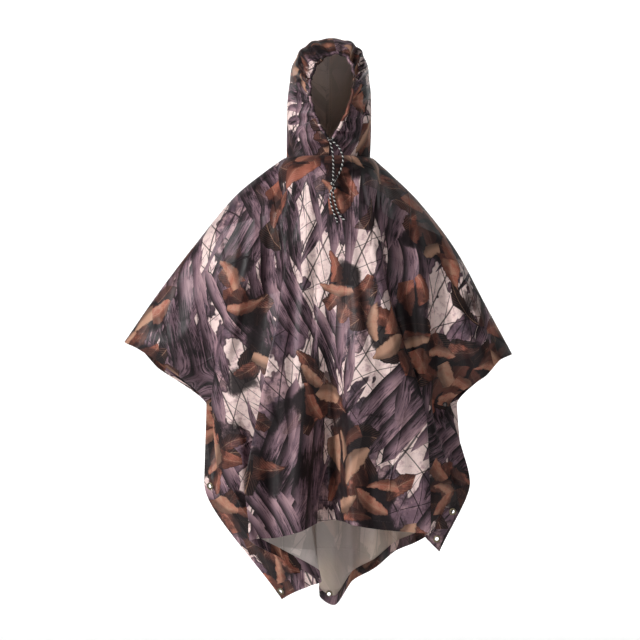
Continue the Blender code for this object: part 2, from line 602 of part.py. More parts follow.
# Eyelets go through the cloth: a barrel in the hole and a flange on each face.
EYELET_HOLE = 0.0045
EYELET_BARREL = 0.0052
EYELET_CUT = 0.0056
EYELET_FLANGE = 0.0092
EYELET_LIP = 0.0008
HIP_ROW = sum(FINE_DOWN[:4])
HEM_ROW = sum(FINE_DOWN)
FRONT_LAST = (len(FRONT_FOLDS) - 1) * FINE_ACROSS
TIP_COLUMN = 9 * FINE_ACROSS
Eyelet = namedtuple("Eyelet", "name panel column row")
EYELETS = (
    Eyelet("eyelet_corner_right", "front", 2.20, HEM_ROW - 0.20),
    Eyelet("eyelet_side_right", "front", 1.70, HIP_ROW + 0.10),
    Eyelet("eyelet_corner_left", "front", FRONT_LAST - 1.10, HEM_ROW - 0.40),
    Eyelet("eyelet_side_left", "front", FRONT_LAST - 1.10, HIP_ROW + 2.0),
    Eyelet("eyelet_back_tip", "back", TIP_COLUMN - 1.0, HEM_ROW - 0.30),
)


def eyelet_outline(face):
    """Closed outline of an eyelet whose flanges stand face from the middle of the cloth."""
    return (
        (EYELET_HOLE, face + EYELET_LIP),
        (EYELET_FLANGE, face),
        (EYELET_BARREL, face),
        (EYELET_BARREL, -face),
        (EYELET_FLANGE, -face),
        (EYELET_HOLE, -face - EYELET_LIP),
    )


for eyelet in EYELETS:
    on_front = eyelet.panel == "front"
    panel = front_panel if on_front else back_panel
    place, axis, bow = cloth_place(front_grid if on_front else back_grid,
                                   -1.0 if on_front else 1.0,
                                   eyelet.column, eyelet.row, EYELET_FLANGE)
    face = WALL / 2 + bow + FITTING_CLEAR
    add_turned(eyelet.name, eyelet_outline(face), place, axis, FITTING_SIDES,
               eyelet_brass, poncho)
    reach = face + 0.004
    bore = ((0.0, -reach), (EYELET_CUT, -reach), (EYELET_CUT, reach), (0.0, reach))
    cutter = add_turned(eyelet.name + "_hole", bore, place, axis, FITTING_SIDES,
                        eyelet_brass, cutters)
    cutter.hide_render = True
    cutter.display_type = "WIRE"
    cut = panel.modifiers.new(eyelet.name, "BOOLEAN")
    cut.operation = "DIFFERENCE"
    cut.solver = "EXACT"
    cut.object = cutter
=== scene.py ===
"""Rain poncho as it hangs when it is worn open, with the hood up and both arms out.

Metres, +Z up. The front faces -Y and the wearer's right arm is at -X. Each piece of thin
cloth is a shell on the form of its solid, with its creases, hems and stitching.
"""

import math
from collections import namedtuple

import bmesh
import bpy
import numpy as np
from mathutils import Matrix, Vector


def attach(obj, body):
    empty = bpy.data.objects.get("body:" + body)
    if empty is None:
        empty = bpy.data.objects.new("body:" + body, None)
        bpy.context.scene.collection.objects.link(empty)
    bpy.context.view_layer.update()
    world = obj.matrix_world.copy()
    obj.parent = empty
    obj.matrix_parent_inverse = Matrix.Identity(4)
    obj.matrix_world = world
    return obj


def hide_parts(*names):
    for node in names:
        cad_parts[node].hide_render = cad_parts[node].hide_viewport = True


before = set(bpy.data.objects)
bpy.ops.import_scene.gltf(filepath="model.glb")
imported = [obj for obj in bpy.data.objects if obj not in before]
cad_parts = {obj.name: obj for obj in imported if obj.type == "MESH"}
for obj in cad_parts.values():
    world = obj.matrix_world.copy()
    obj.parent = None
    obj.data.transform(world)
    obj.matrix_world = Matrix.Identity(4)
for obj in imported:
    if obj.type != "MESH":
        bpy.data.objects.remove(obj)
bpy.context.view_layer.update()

# ------------------------------------------------------------------ studio
# A plain pale floor that curves up into its backdrop. A soft light high on the front left
# models the folds, weak ones lift the right, the hem and the far edge, and two wash the
# backdrop to white.
FLOOR_Z = -1.50
FLOOR_HALF = 9.0
FLOOR_TURN = 3.0         # where the floor starts to rise behind the poncho
FLOOR_BEND = (7.0, 2.4)  # how far back and up it curves
BEND_STEPS = 12
BACKDROP_TOP = 6.0
CAMERA_AT = (-0.025, -6.0, -0.405)
CAMERA_LENS = 135.0
CAMERA_SENSOR = 36.0
ROOM_LIGHT = 0.06
StudioLight = namedtuple("StudioLight", "name place target size energy")
STUDIO_LIGHTS = (
    StudioLight("key", (-3.4, -2.6, 1.5), (0.0, 0.0, -0.45), 0.8, 172.0),
    StudioLight("fill", (2.6, -4.2, 0.4), (0.0, 0.0, -0.45), 2.4, 12.0),
    StudioLight("low", (0.3, -3.2, -1.2), (0.0, 0.1, -0.9), 1.2, 12.0),
    StudioLight("rim", (2.6, 1.2, 1.4), (0.0, 0.0, -0.40), 1.2, 12.0),
    StudioLight("backdrop_left", (-3.6, 4.2, 2.2), (-0.8, 8.2, -0.6), 3.4, 330.0),
    StudioLight("backdrop_right", (3.6, 4.2, 2.2), (0.8, 8.2, -0.6), 3.4, 330.0),
)
scene = bpy.context.scene
scene.view_settings.view_transform = "Standard"


def added(name, data):
    """A new object of the scene."""
    made = bpy.data.objects.new(name, data)
    scene.collection.objects.link(made)
    return made


def paint(name, plain):
    """A new material, with plain values in some of its shader's inputs."""
    made = bpy.data.materials.new(name)
    made.use_nodes = True
    for socket, value in plain.items():
        made.node_tree.nodes["Principled BSDF"].inputs[socket].default_value = value
    return made


camera = added("camera", bpy.data.cameras.new("camera"))
camera.data.lens = CAMERA_LENS
camera.data.sensor_width = CAMERA_SENSOR
camera.location = CAMERA_AT
camera.rotation_euler = (math.pi / 2, 0.0, 0.0)
scene.camera = camera

floor_profile = [(-FLOOR_HALF, FLOOR_Z)]
for step in range(BEND_STEPS + 1):
    angle = math.pi / 2 * step / BEND_STEPS
    floor_profile.append((FLOOR_TURN + FLOOR_BEND[0] * math.sin(angle),
                          FLOOR_Z + FLOOR_BEND[1] * (1 - math.cos(angle))))
floor_profile.append((FLOOR_TURN + FLOOR_BEND[0], BACKDROP_TOP))
floor_points = [(x, y, z) for y, z in floor_profile for x in (-FLOOR_HALF, FLOOR_HALF)]
floor_mesh = bpy.data.meshes.new("floor")
floor_mesh.from_pydata(floor_points, [], [(2 * i, 2 * i + 1, 2 * i + 3, 2 * i + 2)
                                          for i in range(len(floor_profile) - 1)])
floor_mesh.shade_smooth()
pale_floor = paint("pale_floor", {"Base Color": (0.94, 0.94, 0.94, 1.0), "Roughness": 0.9})
floor_mesh.materials.append(pale_floor)
added("floor", floor_mesh)

room = bpy.data.worlds.new("room")
room.use_nodes = True
background = room.node_tree.nodes["Background"].inputs
background["Color"].default_value = (1.0, 1.0, 1.0, 1.0)
background["Strength"].default_value = ROOM_LIGHT
scene.world = room
for light in STUDIO_LIGHTS:
    lamp = added(light.name, bpy.data.lights.new(light.name, "AREA"))
    lamp.data.energy = light.energy
    lamp.data.size = light.size
    lamp.location = light.place
    aim = Vector(light.target) - Vector(light.place)
    lamp.rotation_euler = aim.to_track_quat("-Z", "Y").to_euler()

# ------------------------------------------------------------------ sheet, and its folds
# The sheet hangs from the neck seam and from both arms: a front and a back panel of light
# coated polyester, 1.445 m from wrist to wrist. It falls in folds that are followed from the
# shoulder to the hem, one row of the tables for each, in millimetres.
HALF_WIDTH = 0.7225
CLOTH = 0.0006           # thickness of the shell
SHOULDER_HALF_GAP = 0.0003
NECK_X = -0.004
NECK_HALF_WIDTH = 0.104
NECK_HALF_DEPTH = 0.098
NECK_HALF_CUT = 0.105
NECK_CLEAR = 0.0008
UNDERARM_Z = -0.615
HIP_Z = -0.810
CHEST_SHARE = 0.42
ARM_RADIUS = 0.050
ARM_DROP = 0.030
NECK_LEAN = (0.45, -0.30, 0.22)    # how cloth leaves the neck: aside, down, less down aside
ARM_LEAN = (0.5, 0.06, -0.08)      # and the arm line: aside, how soon that fades, and down
CUFF_REACH = 0.14
CUFF_TUCK = 0.034
CUFF_HELD = 0.65         # share of the drop that is lost at the cuff
FOLD_ROLL = 0.6
FALL_SLACK = 0.62
FRONT_FINE = 12          # columns between two folds
BACK_FINE = 14
FINE_DOWN = (6, 20, 32, 22, 28)    # rows from level to level, shoulder to hem
FRONT_MIDDLE = 13 * FRONT_FINE     # the column at the middle of the neck
BACK_MIDDLE = 9 * BACK_FINE
BODY_MIDDLE = (0.0, 0.0, -0.5)
ShoulderPoint = namedtuple("ShoulderPoint", "along x z")
Fold = namedtuple("Fold", "name along chest underarm hip hem")


def metres(row):
    """Lengths in metres, from millimetres."""
    return tuple(value / 1000 for value in row)


def arm_of(rows):
    """The shoulder and arm line of one side."""
    return [ShoulderPoint(*metres(row)) for row in rows]


def folds_of(rows):
    """The folds of one panel."""
    return [Fold(name, along / 1000, *map(metres, places)) for name, along, *places in rows]


RIGHT_ARM = arm_of((
    (105, -111.2, 0),
    (170, -163, -35),
    (270, -239, -98),
    (420, -334, -213),
    (580, -429, -338),
    (722.5, -514, -460),
))
LEFT_ARM = arm_of((
    (105, 103.2, 0),
    (170, 153, -42),
    (270, 224, -112),
    (420, 314, -230),
    (580, 390, -370),
    (722.5, 455, -490),
))
FRONT_FOLDS = folds_of((
    ("side_edge_r", -722.5, (-402, -48), (-309, -3.6), (-312, -56), (-119, -70, -1095)),
    ("cuff_roll_r", -640, (-392, -88), (-276, -4.2), (-291, -70), (-108, -82, -1087)),
    ("sleeve_hang_r", -540, (-350, -102), (-256, -30), (-281, -82), (-98, -94, -1080)),
    ("sleeve_dip_r", -430, (-298, -108), (-268, -60), (-273, -93), (-88, -105, -1074)),
    ("sleeve_lap_r", -340, (-247, -136), (-290, -88), (-264, -103), (-77, -115, -1068)),
    ("side_face_r", -260, (-200, -132), (-240, -108), (-240, -116), (-64, -124, -1062)),
    ("side_dip_r", -190, (-148, -118), (-183, -108), (-185, -112), (-48, -118, -1056)),
    ("pleat_inside_r", -150, (-120, -138), (-105, -130), (-62, -134), (-24, -136, -1040)),
    ("pleat_back_r", -125, (-118, -153), (-138, -154), (-132, -156), (-110, -152, -990)),
    ("pleat_edge_r", -105, (-108, -170), (-172, -184), (-206, -194), (-192, -194, -940)),
    ("panel_dip_r", -70, (-72, -174), (-122, -177), (-142, -180), (-134, -177, -934)),
    ("centre_crest_r", -40, (-42, -180), (-64, -187), (-78, -196), (-74, -196, -918)),
    ("trough_wall_r", -18, (-18, -181), (-30, -166), (-36, -150), (-32, -158, -900)),
    ("trough", 0, (4, -180), (-2, -136), (-4, -102), (4, -128, -894)),
    ("trough_wall_l", 18, (24, -181), (25, -160), (25, -140), (34, -160, -896)),
    ("centre_crest_l", 40, (48, -181), (48, -190), (48, -199), (58, -197, -902)),
    ("panel_dip_l", 70, (82, -173), (116, -176), (128, -182), (126, -180, -914)),
    ("pleat_edge_l", 105, (120, -170), (226, -166), (240, -180), (242, -182, -922)),
    ("pleat_back_l", 125, (128, -155), (210, -142), (205, -152), (205, -156, -905)),
    ("pleat_inside_l", 150, (130, -139), (192, -119), (168, -128), (165, -132, -890)),
    ("side_dip_l", 190, (164, -122), (212, -100), (222, -106), (205, -108, -912)),
    ("side_crest_l", 260, (218, -136), (240, -96), (268, -86), (228, -86, -926)),
    ("sleeve_dip_l", 350, (268, -104), (252, -64), (292, -72), (240, -64, -936)),
    ("sleeve_crest_l", 450, (320, -102), (246, -32), (304, -60), (250, -50, -944)),
    ("cuff_roll_l", 600, (372, -86), (264, -4.2), (312, -48), (236, -32, -944)),
    ("side_edge_l", 722.5, (388, -46), (301, -3.6), (348, -38), (272, -24, -982)),
))
BACK_FOLDS = folds_of((
    ("side_edge_r", -722.5, (-434, 48), (-309, 3.6), (-305, 38), (-140, 10, -1045)),
    ("cuff_roll_r", -620, (-390, 86), (-277, 4.2), (-270, 52), (-116, 46, -1036)),
    ("sleeve_hang_r", -500, (-335, 98), (-254, 32), (-242, 85), (-114, 90, -1036)),
    ("side_crest_r", -370, (-262, 148), (-264, 136), (-260, 156), (-146, 154, -1034)),
    ("side_dip_r", -260, (-190, 110), (-196, 84), (-190, 82), (-102, 88, -1038)),
    ("shoulder_crest_r", -160, (-128, 166), (-138, 184), (-132, 192), (-60, 194, -1052)),
    ("pleat_back", -105, (-78, 160), (-62, 178), (-20, 190), (30, 196, -1068)),
    ("pleat_lap", -80, (-68, 152), (-60, 158), (-30, 166), (0, 172, -1090)),
    ("pleat_edge", -55, (-46, 148), (-60, 142), (-45, 142), (-25, 146, -1112)),
    ("tip", -20, (-16, 156), (-16, 156), (0, 152), (14, 146, -1134)),
    ("centre_crest", 20, (34, 168), (40, 184), (52, 194), (58, 190, -1078)),
    ("centre_dip", 62, (80, 134), (92, 114), (106, 110), (112, 112, -1038)),
    ("shoulder_crest_l", 105, (130, 168), (148, 186), (162, 194), (168, 194, -1002)),
    ("side_dip_l", 210, (188, 110), (202, 82), (218, 80), (222, 82, -966)),
    ("side_crest_l", 360, (256, 150), (264, 138), (288, 146), (282, 146, -932)),
    ("sleeve_hang_l", 490, (316, 98), (250, 32), (266, 82), (256, 82, -918)),
    ("cuff_roll_l", 620, (366, 86), (280, 4.2), (302, 52), (290, 52, -908)),
    ("side_edge_l", 722.5, (392, 46), (318, 3.6), (334, 38), (302, 18, -900)),
))


def cubic_at(knots, points, value, ends=None, slack=0.85, roll=0.0, hold=False):
    """Point at value on a smooth curve through points, full where it doubles back."""
    points = np.asarray(points, dtype=float)
    span = int(np.clip(np.searchsorted(knots, value) - 1, 0, len(knots) - 2))
    length = knots[span + 1] - knots[span]
    share = (value - knots[span]) / length

    def tangent(index):
        if index == 0:
            if ends is not None:
                return np.asarray(ends)
            return (points[1] - points[0]) / (knots[1] - knots[0])
        if index == len(knots) - 1:
            return (points[-1] - points[-2]) / (knots[-1] - knots[-2])
        back = points[index] - points[index - 1]
        onward = points[index + 1] - points[index]
        turn = slack * (back + onward) / (knots[index + 1] - knots[index - 1])
        if roll and float(np.dot(back, onward)) < 0.0:
            leg = min(float(np.linalg.norm(back)), float(np.linalg.norm(onward)))
            turn *= max(1.0, roll * leg / float(np.linalg.norm(turn)))
        if hold:
            turn = np.where(back * onward > 0.0, turn, 0.0)
        return turn

    a = 2 * share ** 3 - 3 * share ** 2 + 1
    b = share ** 3 - 2 * share ** 2 + share
    c = 3 * share ** 2 - 2 * share ** 3
    d = share ** 3 - share ** 2
    return (a * points[span] + b * length * tangent(span)
            + c * points[span + 1] + d * length * tangent(span + 1))


def shoulder_at(along, facing):
    """Start of the cloth on the shoulder line or the neck seam, and the way it leaves."""
    side = -1.0 if along < 0 else 1.0
    reach = abs(along)
    if reach >= NECK_HALF_CUT:
        arm = RIGHT_ARM if side < 0 else LEFT_ARM
        knots = [point.along for point in arm]
        x, z = cubic_at(knots, [(point.x, point.z) for point in arm], reach, slack=1.0)
        aside, fade, down = ARM_LEAN
        spread = aside * math.exp(-(reach - NECK_HALF_CUT) / fade)
        leave = Vector((side * spread, facing, down)).normalized()
        return Vector((x, facing * SHOULDER_HALF_GAP, z)), leave
    turn = math.pi / 2 * reach / NECK_HALF_CUT
    ring_x = NECK_HALF_WIDTH + NECK_CLEAR
    ring_y = NECK_HALF_DEPTH + NECK_CLEAR
    start = Vector((NECK_X + side * ring_x * math.sin(turn), facing * ring_y * math.cos(turn), 0.0))
    aside, down, less = NECK_LEAN
    leave = Vector((side * math.sin(turn) * aside, facing, down + less * math.sin(turn)))
    return start, leave.normalized()


def cloth_points(folds, facing, across, down):
    """Grid of points on the middle of the cloth: [column across][row down]."""
    knots = list(range(len(folds)))
    alongs = [fold.along for fold in folds]
    grid = []
    for column in range((len(folds) - 1) * across + 1):
        place = column / across
        along = float(np.interp(place, knots, alongs))
        start, leave = shoulder_at(along, facing)
        chest, underarm, hip, hem = (
            cubic_at(knots, [getattr(fold, level) for fold in folds], place, roll=FOLD_ROLL)
            for level in Fold._fields[2:])
        chest_z = start.z + CHEST_SHARE * (UNDERARM_Z - start.z)
        cuff = max(0.0, 1.0 - (HALF_WIDTH - abs(along)) / CUFF_REACH)
        tuck = Vector((-math.copysign(CUFF_TUCK * cuff, along), 0.0,
                       -ARM_DROP * (1 - CUFF_HELD * cuff)))
        crown = start + leave * ARM_RADIUS + tuck
        levels = [tuple(start), tuple(crown), (*chest, chest_z), (*underarm, UNDERARM_Z),
                  (*hip, HIP_Z), tuple(hem)]
        lengths = [math.dist(levels[i], levels[i + 1]) for i in range(5)]
        marks = [0.0, *np.cumsum(lengths)]
        line = []
        for level, facets in enumerate(down):
            for step in range(facets):
                value = marks[level] + lengths[level] * step / facets
                line.append(cubic_at(marks, levels, value, ends=leave, slack=FALL_SLACK,
                                     hold=True))
        line.append(np.asarray(levels[-1]))
        grid.append(line)
    return np.asarray(grid)


def across_cloth(grid, centre):
    """Unit vectors square to the cloth and away from its wearer, one for each point."""
    down = np.gradient(grid, axis=1)
    down /= np.linalg.norm(down, axis=2, keepdims=True)
    step = np.diff(grid, axis=0)
    sides = []
    for here in (down[:-1], down[1:]):
        level = step - here * (step * here).sum(axis=2, keepdims=True)
        sides.append(level / np.linalg.norm(level, axis=2, keepdims=True))
    over = np.concatenate([sides[0][:1], sides[1][:-1] + sides[0][1:], sides[1][-1:]])
    square = np.cross(over, down)
    square /= np.linalg.norm(square, axis=2, keepdims=True)
    if ((grid - np.asarray(centre)) * square).sum() < 0:
        square = -square
    return square


# Creases, in millimetres: where each starts and ends as seen from the front or the back, how
# far it bows sideways, how wide it is, how far it stands out, or in where that is negative,
# and then how much steeper it is on its +X side.
Crease = namedtuple("Crease", "name x0 z0 x1 z1 bow width height skew")


def creases_of(rows):
    """The creases of one piece of cloth."""
    return [Crease(name, *metres(lengths), skew) for name, *lengths, skew in rows]


FRONT_CREASES = creases_of((
    ("neck_pull_r", -84, -26, -146, -240, 10, 12, 7.5, 0.3),
    ("neck_dip_r", -62, -22, -104, -230, 8, 11, -6, 0.0),
    ("pleat_valley_r", -128, -60, -222, -640, 14, 18, -4.5, -0.3),
    ("shoulder_pull_r", -150, -80, -196, -330, 12, 15, 8.5, 0.3),
    ("sleeve_fold_r", -172, -120, -292, -640, 6, 20, 15, 0.4),
    ("sleeve_valley_r", -215, -150, -318, -560, 10, 20, -12, 0.3),
    ("arm_fold_r", -262, -160, -352, -480, -12, 18, 8.5, 0.2),
    ("cuff_pull_r", -372, -300, -390, -470, -10, 14, 6.5, 0.2),
    ("cuff_dip_r", -420, -350, -414, -455, -8, 12, -5, 0.0),
    ("collar_buckle", -52, -72, 30, -58, -10, 9, 2.8, 0.0),
    ("breast_ridge_r", -46, -60, -88, -560, 6, 11, 6, 0.2),
    ("breast_dip_r", -26, -120, -60, -600, 6, 11, -6, 0.2),
    ("panel_ridge_r", -104, -300, -128, -900, 4, 14, 5.5, 0.3),
    ("panel_dip_r", -86, -260, -104, -880, 2, 13, -5.5, 0.0),
    ("waist_drag_r", -165, -560, -80, -730, -14, 11, 5, 0.2),
    ("waist_slack_r", -176, -650, -70, -700, -10, 9, -4.5, 0.0),
    ("hem_flute_r", -150, -740, -142, -945, 4, 13, -7, 0.0),
    ("hem_roll_r", -168, -700, -172, -940, -5, 13, 5, 0.0),
    ("side_drag_r", -240, -600, -214, -860, 10, 14, 8, 0.3),
    ("side_slack_r", -262, -640, -190, -930, -12, 14, -2.5, 0.0),
    ("corner_drag_r", -250, -800, -125, -1030, -10, 12, 6, 0.2),
    ("neck_pull_l", 70, -26, 98, -180, -8, 12, 7, 0.2),
    ("neck_dip_l", 48, -22, 66, -220, -6, 12, -6, 0.0),
    ("pleat_ridge_l", 78, -90, 194, -600, -10, 20, 12, 0.5),
    ("pleat_valley_l", 110, -110, 214, -560, -8, 14, -10, -0.4),
    ("shoulder_pull_l", 128, -64, 172, -330, -10, 16, 8.5, 0.3),
    ("sleeve_line_l", 200, -110, 238, -650, -4, 6, -5, 0.0),
    ("sleeve_ridge_l", 216, -150, 250, -520, -6, 14, 8, 0.0),
    ("cuff_line_l", 250, -290, 345, -550, 6, 7, -6, 0.0),
    ("cuff_ridge_l", 262, -260, 368, -545, 6, 14, 8.5, 0.0),
    ("arm_pull_l", 272, -200, 402, -505, 10, 13, 5.5, 0.2),
    ("breast_ridge_l", 52, -190, 100, -600, -6, 13, 6.5, 0.3),
    ("breast_dip_l", 36, -240, 66, -640, -4, 11, -5.5, 0.0),
    ("panel_dip_l", 122, -420, 166, -900, -4, 14, -6, 0.2),
    ("panel_ridge_l", 146, -440, 196, -890, -4, 14, 6, 0.3),
    ("waist_drag_l", 206, -560, 88, -740, 14, 11, 5.2, 0.0),
    ("waist_slack_l", 190, -650, 70, -668, 10, 9, -4.5, 0.0),
    ("hem_flute_l", 102, -730, 106, -915, -4, 13, -7, 0.0),
    ("hem_roll_l", 214, -690, 222, -925, 6, 12, 6, 0.0),
    ("turn_under_l", 244, -715, 345, -800, 8, 12, 8, -0.3),
    ("turn_shadow_l", 246, -745, 335, -825, 8, 12, -7, 0.0),
    ("corner_drag_l", 300, -800, 262, -930, 6, 11, -6, 0.0),
))
BACK_CREASES = creases_of((
    ("neck_pull_r", -75, -26, -125, -270, 10, 13, 7.5, 0.2),
    ("neck_dip_r", -48, -22, -70, -240, 6, 12, -6, 0.0),
    ("shoulder_pull_r", -128, -70, -236, -380, 18, 18, 11, 0.3),
    ("shoulder_dip_r", -165, -100, -280, -400, 18, 16, -9, 0.0),
    ("arm_pull_r", -240, -170, -302, -560, 16, 18, 10, 0.3),
    ("cuff_pull_r", -380, -310, -362, -500, -10, 14, 6.5, 0.0),
    ("waist_drag_r", -225, -560, -110, -760, -14, 13, 6.5, 0.2),
    ("waist_slack_r", -200, -640, -80, -670, -10, 10, -4.5, 0.0),
    ("hem_flute_r", -150, -780, -95, -1000, 6, 14, -7.5, 0.0),
    ("side_drag_r", -262, -620, -190, -930, 14, 16, 8, 0.2),
    ("spine_pull", 10, -60, 24, -480, 6, 12, 6, 0.2),
    ("spine_slack", -20, -330, 50, -370, 6, 10, -3.2, 0.0),
    ("tip_drag", 50, -760, 20, -1050, 8, 12, 5.5, 0.2),
    ("neck_pull_l", 74, -26, 120, -260, -10, 13, 7.5, 0.2),
    ("shoulder_pull_l", 126, -75, 212, -380, -16, 18, 11, 0.2),
    ("shoulder_dip_l", 160, -115, 258, -400, -16, 16, -9, 0.0),
    ("arm_pull_l", 235, -190, 292, -560, -14, 17, 9.5, 0.3),
    ("cuff_pull_l", 360, -370, 348, -540, 8, 14, 6, 0.0),
    ("waist_drag_l", 235, -570, 120, -780, 14, 14, 6.5, 0.2),
    ("waist_slack_l", 190, -655, 90, -672, 8, 10, -4.5, 0.0),
    ("hem_flute_l", 180, -750, 196, -960, -6, 14, -7, 0.0),
    ("side_drag_l", 275, -640, 262, -880, -10, 14, 7.5, 0.2),
))


def crease_heights(grid, creases):
    """How far the creases push each point of the cloth out, in metres."""
    push = np.zeros(grid.shape[:2])
    for crease in creases:
        run = np.array((crease.x1 - crease.x0, crease.z1 - crease.z0))
        length = float(np.linalg.norm(run))
        offset_x = grid[:, :, 0] - crease.x0
        offset_z = grid[:, :, 2] - crease.z0
        share = np.clip((offset_x * run[0] + offset_z * run[1]) / length ** 2, 0.0, 1.0)
        aside = (offset_z * run[0] - offset_x * run[1]) / length
        aside -= crease.bow * 4 * share * (1 - share)
        aside /= crease.width * (1 - crease.skew * np.sign(aside))
        fade = np.sin(math.pi * share) ** 0.8
        push += crease.height * fade * np.exp(-aside ** 2)
    return push


def sheet_map(grid, middle):
    """Where each point lies on the flat cloth, in metres: across from the middle, and down."""
    over = np.linalg.norm(np.diff(grid, axis=0), axis=2)
    run = np.concatenate([np.zeros((1, grid.shape[1])), np.cumsum(over, axis=0)])
    run -= run[middle:middle + 1]
    fall = np.linalg.norm(np.diff(grid, axis=1), axis=2)
    drop = np.concatenate([np.zeros((grid.shape[0], 1)), np.cumsum(fall, axis=1)], axis=1)
    drop += np.abs(grid[:, :1, 1])
    return np.stack([run, -drop], axis=2)


def cosines(count):
    """Cosine waves of a row of points, as an orthogonal matrix, and how stiff each one is."""
    wave = np.arange(count)[:, None]
    table = np.cos(math.pi * wave * (np.arange(count) + 0.5) / count) * math.sqrt(2 / count)
    table[0] /= math.sqrt(2)
    return table, 2 - 2 * np.cos(math.pi * wave[:, 0] / count)


def laid_flat(grid, flat):
    """The flat map again, with its squares turned and slid until each fits the cloth there."""
    over, down = np.gradient(grid, axis=0), np.gradient(grid, axis=1)
    width = np.linalg.norm(over, axis=2)
    lean = (over * down).sum(axis=2) / width
    fall = np.linalg.norm(np.cross(over, down), axis=2) / width
    stretch = float(np.median(fall) / np.median(width))
    waves_over, stiff_over = cosines(grid.shape[0])
    waves_down, stiff_down = cosines(grid.shape[1])
    stiff = stretch * stiff_over[:, None] + stiff_down[None, :] / stretch
    stiff[0, 0] = 1.0
    anchor = flat[len(flat) // 2, 0].copy()
    for _ in range(FLAT_ROUNDS):
        right, below = np.gradient(flat, axis=0), np.gradient(flat, axis=1)
        with_it = width * right[:, :, 0] + lean * below[:, :, 0] - fall * below[:, :, 1]
        against = width * right[:, :, 1] + lean * below[:, :, 1] + fall * below[:, :, 0]
        turn = np.arctan2(against, with_it)
        cosine, sine = np.cos(turn), np.sin(turn)
        right = np.stack([width * cosine, width * sine], axis=2)
        below = np.stack([lean * cosine + fall * sine, lean * sine - fall * cosine], axis=2)
        right = stretch * (right[1:] + right[:-1]) / 2
        below = (below[:, 1:] + below[:, :-1]) / 2 / stretch
        pull = np.zeros_like(flat)
        pull[1:] += right
        pull[:-1] -= right
        pull[:, 1:] += below
        pull[:, :-1] -= below
        waves = [(waves_over @ pull[:, :, k] @ waves_down.T) / stiff for k in range(2)]
        flat = np.stack([waves_over.T @ wave @ waves_down for wave in waves], axis=2)
    return flat + (anchor - flat[len(flat) // 2, 0])


FLAT_ROUNDS = 30
FACING_FULL = 0.7        # creases fade where the cloth turns away further than this
front_grid = cloth_points(FRONT_FOLDS, -1.0, FRONT_FINE, FINE_DOWN)
back_grid = cloth_points(BACK_FOLDS, 1.0, BACK_FINE, FINE_DOWN)
front_map = laid_flat(front_grid, sheet_map(front_grid, FRONT_MIDDLE))
back_map = laid_flat(back_grid, sheet_map(back_grid, BACK_MIDDLE)) * (1.0, -1.0)
for cloth, creases, facing in ((front_grid, FRONT_CREASES, -1.0), (back_grid, BACK_CREASES, 1.0)):
    outwards = across_cloth(cloth, BODY_MIDDLE)
    shown = np.clip(outwards[:, :, 1] * facing / FACING_FULL, 0.0, 1.0)
    cloth += outwards * (crease_heights(cloth, creases) * shown)[:, :, None]


def solid_points(node):
    """The vertices of a solid."""
    return np.array([tuple(vertex.co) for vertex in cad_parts[node].data.vertices])


def fitting_place(node, outwards):
    """Middle and outward axis of a fitting, from its solid."""
    points = solid_points(node)
    axis = np.linalg.svd(points - points.mean(axis=0), full_matrices=False)[2][2]
    if axis @ np.asarray(outwards) < 0:
        axis = -axis
    return (points.min(axis=0) + points.max(axis=0)) / 2, axis


# Cloth lies flat where an eyelet or a press stud grips it.
GRIP_RADIUS = 0.011
GRIP_FADE = 0.012
GRIP_DEPTH = 0.008       # cloth further than this in front or behind is another layer
SNAP_LIFT = 0.0013       # from the cloth up to the middle of a press stud's cap
Grip = namedtuple("Grip", "node panel lift")
GRIPS = (
    Grip("eyelet_corner_right", "front", 0.0),
    Grip("eyelet_side_right", "front", 0.0),
    Grip("eyelet_corner_left", "front", 0.0),
    Grip("eyelet_side_left", "front", 0.0),
    Grip("eyelet_back_tip", "back", 0.0),
    Grip("snap_right_cap", "front", SNAP_LIFT),
    Grip("snap_left_cap", "front", SNAP_LIFT),
    Grip("snap_right_back", "back", SNAP_LIFT),
    Grip("snap_left_back", "back", SNAP_LIFT),
)
grips = {}
for grip in GRIPS:
    facing = -1.0 if grip.panel == "front" else 1.0
    middle, axis = fitting_place(grip.node, (0.0, facing, 0.0))
    middle = middle - axis * grip.lift
    cloth = front_grid if grip.panel == "front" else back_grid
    away = np.linalg.norm(cloth - middle, axis=2)
    hold = np.clip((GRIP_RADIUS + GRIP_FADE - away) / GRIP_FADE, 0.0, 1.0)
    hold = hold * hold * (3 - 2 * hold)
    off = (cloth - middle) @ axis
    near = np.abs(off) < GRIP_DEPTH
    cloth -= axis * (off * hold * near)[:, :, None]
    grips[grip.node] = (middle, axis)

front_square = across_cloth(front_grid, BODY_MIDDLE)
back_square = across_cloth(back_grid, BODY_MIDDLE)


def surfaced(name, points, faces, finishes, places=None, sharp=frozenset(), weld=0.0):
    """A smooth piece of the scene, with the place of each face's corners on the flat cloth,
    and with the edges that stay sharp."""
    mesh = bpy.data.meshes.new(name)
    mesh.from_pydata([tuple(point) for point in points], [], faces)
    for finish in finishes:
        mesh.materials.append(finish)
    if places is not None:
        layer = mesh.uv_layers.new(name="cloth")
        layer.data.foreach_set("uv", np.asarray(places, dtype=np.float32).ravel())
    mesh.shade_smooth()
    work = bmesh.new()
    work.from_mesh(mesh)
    if weld:
        bmesh.ops.remove_doubles(work, verts=work.verts, dist=weld)
    bmesh.ops.recalc_face_normals(work, faces=work.faces)
    for edge in work.edges:
        if frozenset(vertex.index for vertex in edge.verts) in sharp:
            edge.smooth = False
    work.to_mesh(mesh)
    work.free()
    return added(name, mesh)


